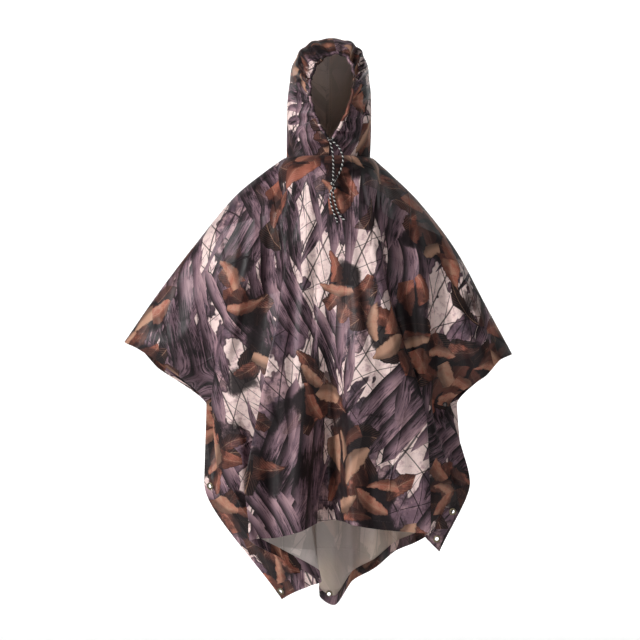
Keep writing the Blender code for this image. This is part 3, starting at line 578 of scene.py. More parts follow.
def shell(name, grid, square, flat_map, finishes, thickness=CLOTH):
    """Thin closed shell on a grid: its outer face has the first finish, its inner the second."""
    columns, rows = grid.shape[:2]
    points = [*(grid + square * thickness / 2).reshape(-1, 3),
              *(grid - square * thickness / 2).reshape(-1, 3)]
    flat = flat_map.reshape(-1, 2)
    count = columns * rows
    faces = []
    for i in range(columns - 1):
        for j in range(rows - 1):
            a = i * rows + j
            faces += [(a, a + rows, a + rows + 1), (a, a + rows + 1, a + 1)]
    outer = len(faces)
    faces += [tuple(count + corner for corner in reversed(face)) for face in faces]
    border = [i * rows for i in range(columns)]
    border += [(columns - 1) * rows + j for j in range(1, rows)]
    border += [i * rows + rows - 1 for i in range(columns - 2, -1, -1)]
    border += [j for j in range(rows - 2, 0, -1)]
    sides = list(zip(border, border[1:] + border[:1]))
    faces += [(there, here, count + here, count + there) for here, there in sides]
    sharp = {frozenset((here + face, there + face)) for here, there in sides for face in (0, count)}
    places = flat[np.concatenate(faces) % count]
    made = surfaced(name, points, faces, finishes, places, sharp)
    slots = np.zeros(len(faces), dtype=np.int32)
    slots[outer:2 * outer] = len(finishes) - 1
    made.data.polygons.foreach_set("material_index", slots)
    return made


# ------------------------------------------------------------------ printed cloth
# Plain-woven polyester with a clear coat. The face is printed in charcoal, mauve, cream and
# rust: shaded strokes, reed stalks on pale ground and drifts of plain pointed leaves. The
# back is left pale and the print only just shows through it.
Ink = namedtuple("Ink", "red green blue")
CREAM = Ink(246, 220, 214)
BLUSH = Ink(190, 154, 158)
MAUVE = Ink(126, 98, 110)
SLATE = Ink(82, 66, 77)
CHARCOAL = Ink(52, 37, 41)
SOOT = Ink(26, 17, 20)
RUST = Ink(170, 100, 82)
UMBER = Ink(82, 47, 43)
TAN = Ink(192, 148, 124)
REVERSE = Ink(206, 194, 188)
REVERSE_WARM = Ink(228, 208, 190)


def ink(colour):
    """Linear colour of an ink given as it looks, from 0 to 255."""
    parts = [value / 255 for value in colour]
    return (*[part / 12.92 if part <= 0.04045 else ((part + 0.055) / 1.055) ** 2.4
              for part in parts], 1.0)


class Dye:
    """A socket in a material's tree; sums and products of sockets add Math nodes."""

    def __init__(self, tree, socket):
        self.tree = tree
        self.socket = socket

    def node(self, kind, settings, links, output=0):
        made = self.tree.nodes.new("ShaderNode" + kind)
        for name, value in settings.items():
            setattr(made, name, value)
        for name, value in links.items():
            if isinstance(value, Dye):
                self.tree.links.new(value.socket, made.inputs[name])
            else:
                made.inputs[name].default_value = value
        return Dye(self.tree, made.outputs[output])

    def maths(self, operation, *values):
        return self.node("Math", {"operation": operation}, dict(enumerate((self, *values))))

    def vector(self, operation, *values):
        return self.node("VectorMath", {"operation": operation}, dict(enumerate((self, *values))))

    def __add__(self, other):
        return self.maths("ADD", other)

    def __sub__(self, other):
        return self.maths("SUBTRACT", other)

    def __rsub__(self, other):
        return (self * -1.0).maths("ADD", other)

    def __mul__(self, other):
        return self.maths("MULTIPLY", other)

    def __truediv__(self, other):
        return self.maths("DIVIDE", other)

    __radd__ = __add__
    __rmul__ = __mul__

    def size(self):
        return self.maths("ABSOLUTE")

    def saw(self):
        """Distance from the middle of a step, for steps of 1."""
        return (self.maths("FRACT") - 0.5).size()

    def rise(self, low, high):
        """0 below low, 1 above high, smooth between."""
        return self.node("MapRange", {"interpolation_type": "SMOOTHSTEP"},
                         {"Value": self, "From Min": low, "From Max": high})

    def noise(self, scale, detail=2.0, rough=0.5, output="Fac"):
        links = {"Vector": self, "Scale": scale, "Detail": detail, "Roughness": rough}
        return self.node("TexNoise", {"noise_dimensions": "3D"}, links, output)

    def turned(self, degrees, squeeze=(1.0, 1.0, 1.0), shift=(0.0, 0.0, 0.0)):
        return self.node("Mapping", {}, {"Vector": self, "Location": shift, "Scale": squeeze,
                                         "Rotation": (0.0, 0.0, math.radians(degrees))})

    def beside(self, second, third):
        """The vector of this number and two more."""
        return self.node("CombineXYZ", {}, {"X": self, "Y": second, "Z": third})

    def parts(self):
        """The three numbers of a vector."""
        split = self.node("SeparateXYZ", {}, {"Vector": self})
        return [Dye(self.tree, socket) for socket in split.socket.node.outputs]

    def over(self, colour, share):
        """This colour, with another laid over it where share is 1."""
        colour = ink(colour) if isinstance(colour, Ink) else colour
        return self.node("Mix", {"data_type": "RGBA"}, {0: share, 6: self, 7: colour}, 2)

    def colour(self, value):
        """A plain colour as a socket of this tree."""
        return self.node("Mix", {"data_type": "RGBA"}, {0: 0.0, 6: ink(value)}, 2)

    def bump(self):
        """The normals of a surface that stands this far out, in metres."""
        return self.node("Bump", {}, {"Strength": 1.0, "Distance": 1.0, "Height": self})

    def into(self, name):
        """Link this to an input of the material's shader."""
        self.tree.links.new(self.socket, self.tree.nodes["Principled BSDF"].inputs[name])


def place_on(material, kind, output):
    """Where a point lies, for one material: on the flat cloth, or in the object's own space."""
    start = material.node_tree.nodes.new("ShaderNode" + kind)
    if kind == "UVMap":
        start.uv_map = "cloth"
    return Dye(material.node_tree, start.outputs[output])


GRAIN = (6.0, 0.72)      # detail and roughness of the strokes, mist and mottle
CLUMP = (4.6, 2.0)       # scale and detail of the drifts that the leaves lie in
SHOW_THROUGH = 0.20      # how much of the print shows through on the back
Blade = namedtuple("Blade", "turn spacing wide cover sway seed")
STEMS = (
    Blade(-38.0, 0.043, 0.0017, 0.40, 0.13, 2.2),
    Blade(14.0, 0.052, 0.0024, 0.38, 0.11, 6.4),
    Blade(63.0, 0.047, 0.0012, 0.42, 0.14, 9.7),
    Blade(-8.0, 0.036, 0.0011, 0.44, 0.16, 4.3),
)
SHEAVES = (
    Blade(33.0, 0.036, 0.0210, 0.560, 0.09, 8.6),
    Blade(-24.0, 0.031, 0.0185, 0.565, 0.11, 5.1),
    Blade(6.0, 0.040, 0.0245, 0.570, 0.10, 1.3),
)
Drift = namedtuple("Drift", "spacing length width cover shift light dark")
DRIFTS = (
    Drift(0.072, 0.136, 0.052, 0.515, (0.21, 0.13, 0.0), UMBER, SOOT),
    Drift(0.066, 0.124, 0.046, 0.525, (0.52, 0.47, 0.0), RUST, UMBER),
    Drift(0.076, 0.116, 0.042, 0.535, (0.83, 0.91, 0.0), TAN, RUST),
)


def blades(flat, blade):
    """How deep a point lies in the nearest of many long blades that lean one way, where across
    it from -1 to 1, and its place across and along them all."""
    sway = flat.vector("ADD", (blade.seed, 0.7 * blade.seed, 0.0)).noise(1.8, 1.0) - 0.5
    sway = sway * blade.sway
    across, along, _ = flat.turned(blade.turn).parts()
    across = across + sway * 2.0
    rank = (across + 0.1 * blade.seed) / blade.spacing
    number = rank.maths("FLOOR")
    sheaf = (along * 2.4).beside(number * (blade.spacing * 6.0), blade.seed)
    own = (along * 5.0).beside(number * 5.3, blade.seed)
    share = sheaf.noise(1.0, 1.0) + (own.noise(1.0, 0.0) - 0.5) * 0.34
    girth = share.rise(blade.cover - 0.04, blade.cover + 0.07) * blade.wide
    off = (rank.maths("FRACT") - 0.5) * blade.spacing
    return girth - off.size(), off / blade.wide, across, along


def leaves(flat, base, drift):
    """Plain pointed leaves in drifts, laid over base; each has its own turn and colour."""
    moved = flat.vector("ADD", drift.shift)
    plan = moved.node("TexVoronoi", {"voronoi_dimensions": "2D"},
                      {"Vector": moved, "Scale": 1 / drift.spacing, "Randomness": 0.9})
    middle = Dye(plan.tree, plan.socket.node.outputs["Position"])
    turn, girth, shade = Dye(plan.tree, plan.socket.node.outputs["Color"]).parts()
    local = moved.vector("SUBTRACT", middle)
    local = local.node("VectorRotate", {"rotation_type": "Z_AXIS"},
                       {"Vector": local, "Angle": turn * 6.283})
    along, aside, _ = local.parts()
    bent = aside + along * along * 5.0 - 0.003
    reach = along / (drift.length / 2)
    waist = (1.0 - reach * reach) * (reach * 0.45 + 1.0) * (girth * 0.6 + 0.65) * (drift.width / 2)
    tatter = moved.noise(75.0, 4.0, 0.62)
    depth = waist - bent.size() + (tatter - 0.5) * 0.017
    shown = middle.vector("SUBTRACT", drift.shift).noise(*CLUMP)
    shown = shown.rise(drift.cover, drift.cover + 0.012)
    under = flat.noise(*CLUMP) + (tatter - 0.5) * 0.08
    base = base.over(SOOT, under.rise(drift.cover + 0.004, drift.cover + 0.03) * 0.70)
    veins = ((bent.size() * 1.5 - along) / 0.0085).saw()
    mottle = moved.noise(52.0, *GRAIN)
    body = base.colour(drift.dark).over(drift.light, shade * 1.1 + mottle * 3.2 - 1.55)
    rib = (1.0 - bent.size().rise(0.0002, 0.0014)) * 0.55
    body = body.over(TAN, rib + (1.0 - veins.rise(0.02, 0.22)) * 0.22)
    body = body.over(SOOT, bent.rise(-0.004, 0.010) * 0.62)
    body = body.over(SOOT, (1.0 - depth.rise(0.0, 0.0042)) * 0.65)
    return base.over(body, depth.rise(-0.0002, 0.0008) * shown)


def print_colour(flat):
    """The printed face: mist and pale clearings, then stems, sheaves of blades and leaves."""
    drift = flat.noise(2.6, 2.0, output="Color")
    warped = flat.node("VectorMath", {"operation": "MULTIPLY_ADD"},
                       {0: drift, 1: (0.12, 0.12, 0.0), 2: flat})
    mist = warped.noise(6.0, *GRAIN)
    mottle = warped.turned(24.0, (1.0, 0.5, 1.0)).noise(46.0, *GRAIN)
    ground = warped.colour(SLATE).over(MAUVE, mist.rise(0.42, 0.55))
    haze = warped.turned(0.0, shift=(3.1, 1.7, 0.0)).noise(7.0, *GRAIN)
    ground = ground.over(BLUSH, haze.rise(0.51, 0.60))
    ground = ground.over(SOOT, mottle.rise(0.50, 0.62) * 0.60)
    ground = ground.over(BLUSH, mottle.rise(0.44, 0.34) * 0.55)
    clear = warped.turned(0.0, (1.0, 0.6, 1.0), (0.8, 2.6, 0.0)).noise(9.0, 4.0, 0.5)
    cream = warped.colour(CREAM).over(BLUSH, warped.noise(60.0, *GRAIN).rise(0.48, 0.66) * 0.85)
    ground = ground.over(CHARCOAL, clear.rise(0.455, 0.480) * 0.6)
    ground = ground.over(cream, clear.rise(0.485, 0.495))
    for stem in STEMS:
        depth, _, _, _ = blades(flat, stem)
        ground = ground.over(SOOT, depth.rise(0.0, 0.0007) * 0.85)
    for sheaf in SHEAVES:
        depth, side, across, along = blades(flat, sheaf)
        bristle = (across * 260.0).beside(along * 26.0, sheaf.seed).noise(1.0, *GRAIN)
        tone = warped.noise(9.0, 2.0)
        body = warped.colour(SOOT).over(CHARCOAL, (bristle + tone * 0.6).rise(0.66, 0.90))
        bloom = (bristle * 1.1 + tone * 0.9).rise(0.84, 1.06)
        body = body.over(MAUVE, bloom * side.rise(-1.0, 0.3))
        body = body.over(BLUSH, (bristle + tone).rise(0.98, 1.20) * side.rise(-0.5, 0.8) * 0.8)
        body = body.over(SOOT, side.rise(-0.2, -0.9) * 0.8)
        ground = ground.over(body, (depth + (bristle - 0.5) * 0.005).rise(0.0, 0.0010))
    for drift in DRIFTS:
        ground = leaves(flat, ground, drift)
    return ground


PACK_ACROSS = 0.178      # the packing creases are this far apart
PACK_DOWN = 0.205
PACK_START = (0.032, 0.028)
PACK_WIDTH = 0.0036
PACK_HEIGHT = 0.0014
PRESSED = 0.15           # slope left in the cloth on each side of a packing crease


def packed(place, pitch):
    """Ridges of the packing creases across one way of the cloth, and the slopes between."""
    ridge = 1.0 - ((place / pitch).saw() * pitch).rise(0.0, PACK_WIDTH)
    slope = ((place / (2 * pitch)).saw() - 0.5).size() * (2 * pitch * PRESSED)
    return ridge, slope


def cloth_bump(flat):
    """Normal of the cloth: packing creases, slight crumple and the fine weave."""
    across, down, _ = flat.parts()
    wander = (flat.noise(6.0, 2.0) - 0.5) * 0.006
    ridge_over, slope_over = packed(across + wander + PACK_START[0], PACK_ACROSS)
    ridge_down, slope_down = packed(down + wander + PACK_START[1], PACK_DOWN)
    held = flat.noise(3.0, 1.0).rise(0.40, 0.60)
    crumple = flat.noise(17.0, 4.0, 0.55) * 0.0026 + flat.noise(70.0, 2.0, 0.5) * 0.0005
    weave = flat.noise(1900.0, 1.0) * 0.00004
    relief = (ridge_over + ridge_down) * held * PACK_HEIGHT + slope_over + slope_down
    return (relief + crumple + weave).bump()


def cloth_material(name, printed):
    """Coated cloth, seen from its printed face or from its pale back."""
    made = paint(name, {"Specular IOR Level": 0.30, "Sheen Weight": 0.04, "Sheen Roughness": 0.45})
    flat = place_on(made, "UVMap", "UV")
    colour = print_colour(flat)
    if not printed:
        plain = flat.colour(REVERSE).over(REVERSE_WARM, flat.noise(4.0, 2.0).rise(0.40, 0.65))
        colour = plain.over(colour, SHOW_THROUGH)
    colour.into("Base Color")
    cloth_bump(flat).into("Normal")
    (flat.noise(30.0, 2.0) * 0.14 + (0.44 if printed else 0.52)).into("Roughness")
    return made


printed_face = cloth_material("printed_face", True)
plain_back = cloth_material("plain_back", False)
finishes = (printed_face, plain_back)
PANELS = (
    ("front", front_grid, front_square, front_map),
    ("back", back_grid, back_square, back_map),
)
panels = {}
for panel, grid, square, flat_map in PANELS:
    panels[panel] = shell(panel + "_cloth", grid, square, flat_map, finishes)
    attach(panels[panel], "root")
    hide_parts(panel + "_panel")
    panel + "_cloth"

# ------------------------------------------------------------------ hems
# The edges of both panels are turned 24 mm to the inside, so the printed face shows there.
# The bottom hem is turned last and lies over the ends of the side hems.
HEM_WIDTH = 0.024
HEM_PLY = 0.0004
HEM_STEPS = 8
HEM_EDGES = (("start", 0), ("end", 0), ("bottom", 1))    # and how many hems lie under it
PLY_GAP = 0.0001


def inward_lines(grid, edge):
    """Lines of points that run in from one edge of a panel."""
    if edge == "start":
        return grid.transpose(1, 0, 2)
    if edge == "end":
        return grid[::-1].transpose(1, 0, 2)
    return grid if edge == "top" else grid[:, ::-1]


def run_along(line):
    """How far along a line each of its points is."""
    return np.concatenate([[0.0], np.cumsum(np.linalg.norm(np.diff(line, axis=0), axis=1))])


def hem_lines(grid, square, flat_map, edge, reach, sink):
    """Points, directions and places on the flat cloth at each reach from an edge."""
    points, outs, flats = [], [], []
    lines = zip(inward_lines(grid, edge), inward_lines(square, edge), inward_lines(flat_map, edge))
    for line, out, flat in lines:
        run = run_along(line)
        at = [np.stack([np.interp(reach, run, part[:, k]) for k in range(part.shape[1])], axis=1)
              for part in (line, out, flat)]
        at[1] /= np.linalg.norm(at[1], axis=1, keepdims=True)
        points.append(at[0] - at[1] * sink)
        outs.append(at[1])
        flats.append(2 * flat[:1] - at[2])
    return np.asarray(points), np.asarray(outs), np.asarray(flats)


def joined(name, parts):
    """Several pieces of one thing as one mesh."""
    work = bmesh.new()
    for part in parts:
        work.from_mesh(part.data)
    mesh = parts[0].data.copy()
    work.to_mesh(mesh)
    work.free()
    for part in parts:
        bpy.data.objects.remove(part)
    return added(name, mesh)


hem_reach = np.linspace(0.0, HEM_WIDTH, HEM_STEPS + 1)
hems = {}
for panel, grid, square, flat_map in PANELS:
    strips = []
    for edge, below in HEM_EDGES:
        sink = CLOTH / 2 + PLY_GAP + HEM_PLY / 2 + below * (HEM_PLY + PLY_GAP)
        points, outs, flats = hem_lines(grid, square, flat_map, edge, hem_reach, sink)
        strips.append(shell(panel + "_hem_" + edge, points, outs, flats, (printed_face,), HEM_PLY))
    hems[panel] = joined(panel + "_hem", strips)
    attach(hems[panel], "root")
    panel + "_cloth"

# Eyelet holes are cut through cloth and hem together, with a round punch.
EYELET_HOLE = 0.0052
PUNCH_DEPTH = 0.010
PUNCH_SIDES = 24
UP = Vector((0.0, 0.0, 1.0))


def worked(piece):
    """The mesh of a piece with its modifiers carried out."""
    graph = bpy.context.evaluated_depsgraph_get()
    return bpy.data.meshes.new_from_object(piece.evaluated_get(graph))


eyelets = [grip for grip in GRIPS if grip.node.startswith("eyelet")]
for panel in ("front", "back"):
    for cloth in (panels[panel], hems[panel]):
        work = bmesh.new()
        for grip in eyelets:
            if grip.panel == panel:
                middle, axis = grips[grip.node]
                turn = UP.rotation_difference(Vector(axis)).to_matrix().to_4x4()
                bmesh.ops.create_cone(work, cap_ends=True, segments=PUNCH_SIDES,
                                      radius1=EYELET_HOLE, radius2=EYELET_HOLE, depth=PUNCH_DEPTH,
                                      matrix=Matrix.Translation(Vector(middle)) @ turn)
        punch = added("punch", bpy.data.meshes.new("punch"))
        work.to_mesh(punch.data)
        work.free()
        cut = cloth.modifiers.new("holes", "BOOLEAN")
        cut.operation = "DIFFERENCE"
        cut.solver = "EXACT"
        cut.object = punch
        whole = cloth.data
        cloth.data = worked(cloth)
        cloth.modifiers.remove(cut)
        bpy.data.meshes.remove(whole)
        bpy.data.objects.remove(punch)
        cloth.data.name = cloth.name

# ------------------------------------------------------------------ hood
# Two mirrored halves of the same cloth, sewn together over the top and down the back and
# drawn up in gathers towards the face. Rings fan out from a line under the chin.
HOOD_FAN_Y = -0.140
HOOD_COLUMNS = 300
HOOD_GATHERS = 16
HOOD_FINE = 10
HOOD_MIDDLE = (0.0, -0.02, 0.14)
HOOD_MAP = (0.3, 0.2)    # where the halves were cut from the print, and how far apart
HOOD_MAP_APART = 0.31
CHIN_HALF_GAP = 0.0009
SEAM_HALF_GAP = 0.0002
LEAN_POWER = 3           # keeps the lean to the top of each ring
GATHER_FULL = 0.93       # share of the way to the face edge at which gathers stand highest
GATHER_END = 0.07        # and the rest of the way, in which they lose half their height
NECK_FADE = 0.06         # share of the way up from the neck in which creases die out
SEAM_FADE = 10           # columns next to a seam in which creases die out
HoodRing = namedtuple("HoodRing", "name tilt near far half_width square point ripple lean")
HOOD_RINGS = (
    HoodRing("neck_seam", 0.0, 0.042, 0.238, 0.104, 1.00, 0.0, 0.0, 0.0),
    HoodRing("nape", 18.0, 0.037, 0.262, 0.105, 0.95, 0.0, 0.0, 0.0),
    HoodRing("occiput", 38.0, 0.034, 0.303, 0.104, 0.82, 0.0, 0.0003, 0.0),
    HoodRing("crown", 56.0, 0.033, 0.324, 0.102, 0.76, 0.0, 0.0007, 0.001),
    HoodRing("top", 67.0, 0.033, 0.320, 0.097, 0.78, 0.1, 0.0012, 0.003),
    HoodRing("brow", 78.0, 0.033, 0.290, 0.087, 0.80, 0.3, 0.0022, 0.008),
    HoodRing("gathers", 85.0, 0.033, 0.266, 0.070, 0.92, 0.6, 0.0024, 0.012),
    HoodRing("face_edge", 90.0, 0.033, 0.246, 0.053, 1.00, 0.8, 0.0010, 0.015),
)
Gather = namedtuple("Gather", "turns swing sway height start")
GATHERS = (
    Gather(23, 1.10, 3, 0.0036, 0.46),
    Gather(37, 0.80, 5, 0.0024, 0.62),
    Gather(61, 0.50, 7, 0.0012, 0.76),
)
HOOD_CREASES = creases_of((
    ("cheek_fold_r", -86, 4, -97, 165, 6, 6.5, 4.2, 0.0),
    ("cheek_dip_r", -76, 4, -86, 140, 5, 5.5, -3.6, 0.0),
    ("jaw_pull_r", -48, 10, -66, 110, -8, 8, 3.4, 0.0),
    ("temple_dip_r", -92, 150, -60, 235, 10, 8, -3, 0.0),
    ("cheek_fold_l", 82, 4, 94, 150, -5, 7, 3.6, 0.0),
    ("cheek_dip_l", 70, 4, 80, 150, -6, 6, -3.4, 0.0),
    ("jaw_pull_l", 40, 12, 62, 112, 8, 8, 3.2, 0.0),
    ("temple_dip_l", 86, 160, 58, 238, -10, 8, -3, 0.0),
))


def hood_point(ring, turn):
    """Point of one hood ring; turn 0 is the chin, half a turn is the centre seam."""
    peak = 2.0 * ((ring.point + 1) / (ring.point + 2)) ** ((ring.point + 1) / 2)
    peak /= math.sqrt(ring.point + 2)
    sine = math.sin(turn)
    cosine = math.cos(turn)
    width = math.copysign(abs(sine) ** ring.square, sine)
    width *= abs(math.sin(turn / 2)) ** ring.point / peak
    length = -math.copysign(abs(cosine) ** ring.square, cosine)
    crimp = ring.ripple * math.cos(HOOD_GATHERS * turn)
    out = (ring.far + ring.near) / 2 + ((ring.far - ring.near) / 2 + crimp) * length
    across = NECK_X * (1 - ring.tilt / 90) + (ring.half_width + crimp) * width
    tilt = math.radians(ring.tilt)
    return (across, HOOD_FAN_Y + out * math.cos(tilt), out * math.sin(tilt))


def hood_half(side):
    """One side of the hood, as a grid from the chin to the centre seam and neck to face."""
    knots = list(range(len(HOOD_RINGS)))
    rows = (len(HOOD_RINGS) - 1) * HOOD_FINE
    turns = side * np.linspace(0.0, math.pi, HOOD_COLUMNS // 2 + 1)
    grid = []
    for turn in turns:
        line = [hood_point(ring, turn) for ring in HOOD_RINGS]
        grid.append([cubic_at(knots, line, row / HOOD_FINE, slack=1.0) for row in range(rows + 1)])
    grid = np.asarray(grid)
    flat_map = sheet_map(grid, 0) * (side, -1.0)
    flat_map += (HOOD_MAP[0] + side * HOOD_MAP_APART, HOOD_MAP[1])
    share = np.linspace(0.0, 1.0, rows + 1)
    push = crease_heights(grid, HOOD_CREASES)
    for gather in GATHERS:
        bend = gather.swing * np.sin(gather.sway * turns + side)
        wave = 1.4 * np.abs(np.cos(turns * gather.turns / 2 + bend)) ** 0.8 - 0.9
        fade = np.clip((share - gather.start) / (GATHER_FULL - gather.start), 0.0, 1.0)
        past = np.clip((share - GATHER_FULL) / GATHER_END, 0.0, 1.0)
        push += gather.height * np.outer(wave, fade * fade * (3 - 2 * fade) * (1.0 - 0.5 * past))
    ends = np.minimum(np.arange(len(turns)), np.arange(len(turns))[::-1]) / SEAM_FADE
    push *= np.clip(ends, 0.0, 1.0)[:, None]
    push *= np.clip(share / NECK_FADE, 0.0, 1.0)[None, :]
    grid += across_cloth(grid, HOOD_MIDDLE) * push[:, :, None]
    inside = grid[1:-1, :, 0]
    inside[:] = side * np.maximum(np.abs(inside), CHIN_HALF_GAP)
    leans = [(ring.lean,) for ring in HOOD_RINGS]
    leans = [cubic_at(knots, leans, row / HOOD_FINE, slack=1.0)[0] for row in range(rows + 1)]
    grid[:, :, 0] += np.outer(((1.0 - np.cos(turns)) / 2) ** LEAN_POWER, leans)
    square = across_cloth(grid, HOOD_MIDDLE)
    for edge in (0, -1):
        grid[edge, :, 0] += side * SEAM_HALF_GAP
        square[edge, :, 0] = 0.0
        square[edge] /= np.linalg.norm(square[edge], axis=1, keepdims=True)
    return grid, square, flat_map


HOOD_SLOTS = {"hood_right": "hood_cloth_r", "hood_left": "hood_cloth_l"}
hoods = {}
hood_grids = {}
for name, side in (("hood_right", -1.0), ("hood_left", 1.0)):
    hood_grids[name] = hood_half(side)
    hoods[name] = shell(name + "_cloth", *hood_grids[name], finishes)
    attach(hoods[name], "root")
    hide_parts(name)

# Casing: a strip folded into a channel along the face edge, puckered by its drawcord and
# left open under the chin. Its section goes forward and outward from the hood's edge.
CASING_WALL = 0.0006
CASING_START = 18        # columns of the hood left bare on each side of the chin
CASING_FINE = 4
CASING_STRIP = 0.03      # width of the strip
CASING_MAP = 0.4         # where the strip was cut from the print
CASING_MIDDLE = (0.0, -0.13, 0.14)
CASING_DEPTH = 0.006     # from the hood's edge to the middle of the channel
PUCKERS = 46
PUCKER_SHARE = 0.26
FIRM = 0.004             # this far from the hood the channel starts to pucker freely
SMOOTH_ROUNDS = 12
CASING_LIP = ((0.0000, 0.0016), (0.0035, 0.0030), (0.0080, 0.0031))
CASING_FOLD = (0.0112, 0.0)


def mirrored(half, fold):
    """A profile from its half, out and back again around a fold."""
    return (*half, fold, *((place, -height) for place, height in reversed(half)))


CASING_SECTION = mirrored(CASING_LIP, CASING_FOLD)
half = HOOD_COLUMNS // 2
edge_line = [hood_grids["hood_right"][0][i, -1] for i in range(CASING_START, half + 1)]
edge_line += [hood_grids["hood_left"][0][i, -1] for i in range(half - 1, CASING_START - 1, -1)]
edge_line = np.asarray(edge_line)
edge_line[half - CASING_START, 0] = HOOD_RINGS[-1].lean
smooth_line = edge_line.copy()
for _ in range(SMOOTH_ROUNDS):
    smooth_line[1:-1] = (smooth_line[:-2] + 2 * smooth_line[1:-1] + smooth_line[2:]) / 4
casing_along = np.gradient(smooth_line, axis=0)
casing_along /= np.linalg.norm(casing_along, axis=1, keepdims=True)
casing_forward = np.array((0.0, -1.0, 0.0))
casing_outward = np.cross(casing_along, casing_forward)
casing_outward /= np.linalg.norm(casing_outward, axis=1, keepdims=True)
casing_run = run_along(smooth_line)
around = casing_run / casing_run[-1]
pucker = np.abs(np.cos(math.pi * PUCKERS * around + 1.6 * np.sin(19 * around)))
pucker = 1.0 + PUCKER_SHARE * (pucker ** 0.7 - 0.6)
knots = list(range(len(CASING_SECTION)))
section = [cubic_at(knots, CASING_SECTION, step / CASING_FINE, slack=1.0)
           for step in range((len(CASING_SECTION) - 1) * CASING_FINE + 1)]
casing_grid = []
for forward, outward in section:
    swell = 1.0 + (pucker - 1.0) * min(1.0, max(0.0, forward / FIRM))
    casing_grid.append(edge_line + casing_forward * (forward * (0.9 + 0.1 * pucker))[:, None]
                       + casing_outward * (outward * swell)[:, None])
casing_grid = np.stack(casing_grid, axis=1)
casing_square = across_cloth(casing_grid, CASING_MIDDLE)
channel_middle = (edge_line + casing_forward * CASING_DEPTH)[:, None, :]
if ((casing_grid - channel_middle) * casing_square).sum() < 0:
    casing_square = -casing_square
strip = np.linspace(0.0, CASING_STRIP, len(section))[None, :]
casing_map = np.stack(np.broadcast_arrays(casing_run[:, None] + CASING_MAP, strip), axis=2)
casing = shell("hood_casing_cloth", casing_grid, casing_square, casing_map, finishes, CASING_WALL)
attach(casing, "root")
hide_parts("hood_casing")

# ------------------------------------------------------------------ drawcord
# Black braided cord, 4.5 mm thick, with white tracer threads. Both free strands hang from the
# ends of the casing, one straight and one in a bow, and are knotted together at the breast.
CORD_DIAMETER = 0.0045
CORD_STEP = 0.0016       # between points of the modelled cord
CORD_STAND_OFF = 0.0038
CORD_REACH = 0.020       # cloth this near to each side of the cord holds it off
CORD_CHIN_Y = -0.1535
CORD_OUTLET = ((0.0075, -0.1460, 0.0412), (0.0040, -0.1460, 0.0350))   # out of the casing
CORD_SIDES = 14
KNOT_X = 0.0070
KNOT_TOP = -0.066
KNOT_BOTTOM = -0.092
KNOT_END = 0.006         # the straight strand stays straight this far past the knot
KNOT_TURNS = 1.5
KNOT_STEPS = 8
KNOT_RADIUS = 0.0050
STRAIGHT_ABOVE = ((-0.0010, 0.0310), (0.0050, 0.0080), (0.0076, -0.0270))       # x and z
STRAIGHT_BELOW = ((0.0100, -0.1120), (0.0150, -0.1330), (0.0240, -0.1520), (0.0350, -0.1630))
BOWED_ABOVE = ((0.0060, 0.0310), (0.0210, 0.0160), (0.0310, -0.0090), (0.0270, -0.0350),
               (0.0170, -0.0560))
BOWED_BELOW = ((0.0000, -0.1080), (0.0040, -0.1300), (0.0110, -0.1500), (0.0180, -0.1680))


def front_of_chest(x, z):
    """How far forward the cord hangs where it rests on the front panel."""
    depths = [CORD_CHIN_Y + CORD_STAND_OFF]
    for column in front_grid:
        here = [np.interp(-z, -column[:, 2], column[:, axis]) for axis in range(2)]
        if z < column[0, 2] and abs(here[0] - x) < CORD_REACH:
            depths.append(here[1])
    return float(min(depths)) - CORD_STAND_OFF


def cord_places(points):
    """Route points set in front of the cloth."""
    return [(x, front_of_chest(x, z), z) for x, z in points]


knot_y = front_of_chest(KNOT_X, KNOT_BOTTOM) - KNOT_RADIUS
straight_route = [(-x, y, z) for x, y, z in CORD_OUTLET] + cord_places(STRAIGHT_ABOVE)
for height in (KNOT_TOP + KNOT_END, KNOT_TOP, KNOT_BOTTOM, KNOT_BOTTOM - KNOT_END):
    straight_route.append((KNOT_X, knot_y, height))
straight_route += cord_places(STRAIGHT_BELOW)
bowed_route = list(CORD_OUTLET) + cord_places(BOWED_ABOVE)
knot_steps = round(KNOT_TURNS * KNOT_STEPS)
for step in range(knot_steps + 1):
    angle = 2 * math.pi * step / KNOT_STEPS
    height = KNOT_TOP + (KNOT_BOTTOM - KNOT_TOP) * step / knot_steps
    bowed_route.append((KNOT_X + KNOT_RADIUS * math.cos(angle),
                        knot_y - KNOT_RADIUS * math.sin(angle), height))
bowed_route += cord_places(BOWED_BELOW)


def cord_line(route):
    """Evenly spaced points along a smooth curve through a route."""
    route = np.asarray(route, dtype=float)
    marks = list(run_along(route))
    count = round(marks[-1] / CORD_STEP)
    return np.asarray([cubic_at(marks, route, marks[-1] * step / count, slack=1.0)
                       for step in range(count + 1)])


def tube(name, line, radius, sides, finish):
    """Round tube along a line with closed ends; its map runs along and around, in metres."""
    along = np.gradient(line, axis=0)
    along /= np.linalg.norm(along, axis=1, keepdims=True)
    over = np.cross(along[0], (0.0, 1.0, 0.0))
    turns = np.linspace(0.0, 2 * math.pi, sides, endpoint=False)
    rings = []
    for place, ahead in zip(line, along):
        over = over - ahead * (over @ ahead)
        over /= np.linalg.norm(over)
        third = np.cross(ahead, over)
        ring = np.outer(np.cos(turns), over) + np.outer(np.sin(turns), third)
        rings.append(place + radius * ring)
    run = run_along(line)
    faces, places = [], []
    for i in range(len(line) - 1):
        for k in range(sides):
            m = (k + 1) % sides
            faces.append((i * sides + k, (i + 1) * sides + k, (i + 1) * sides + m, i * sides + m))
            for row, column in ((i, k), (i + 1, k), (i + 1, k + 1), (i, k + 1)):
                places.append((run[row], column / sides * 2 * math.pi * radius))
    for start in (0, (len(line) - 1) * sides):
        faces.append(tuple(start + k for k in range(sides)))
        places += [(run[start // sides], 0.0)] * sides
    return surfaced(name, np.concatenate(rings), faces, (finish,), places)


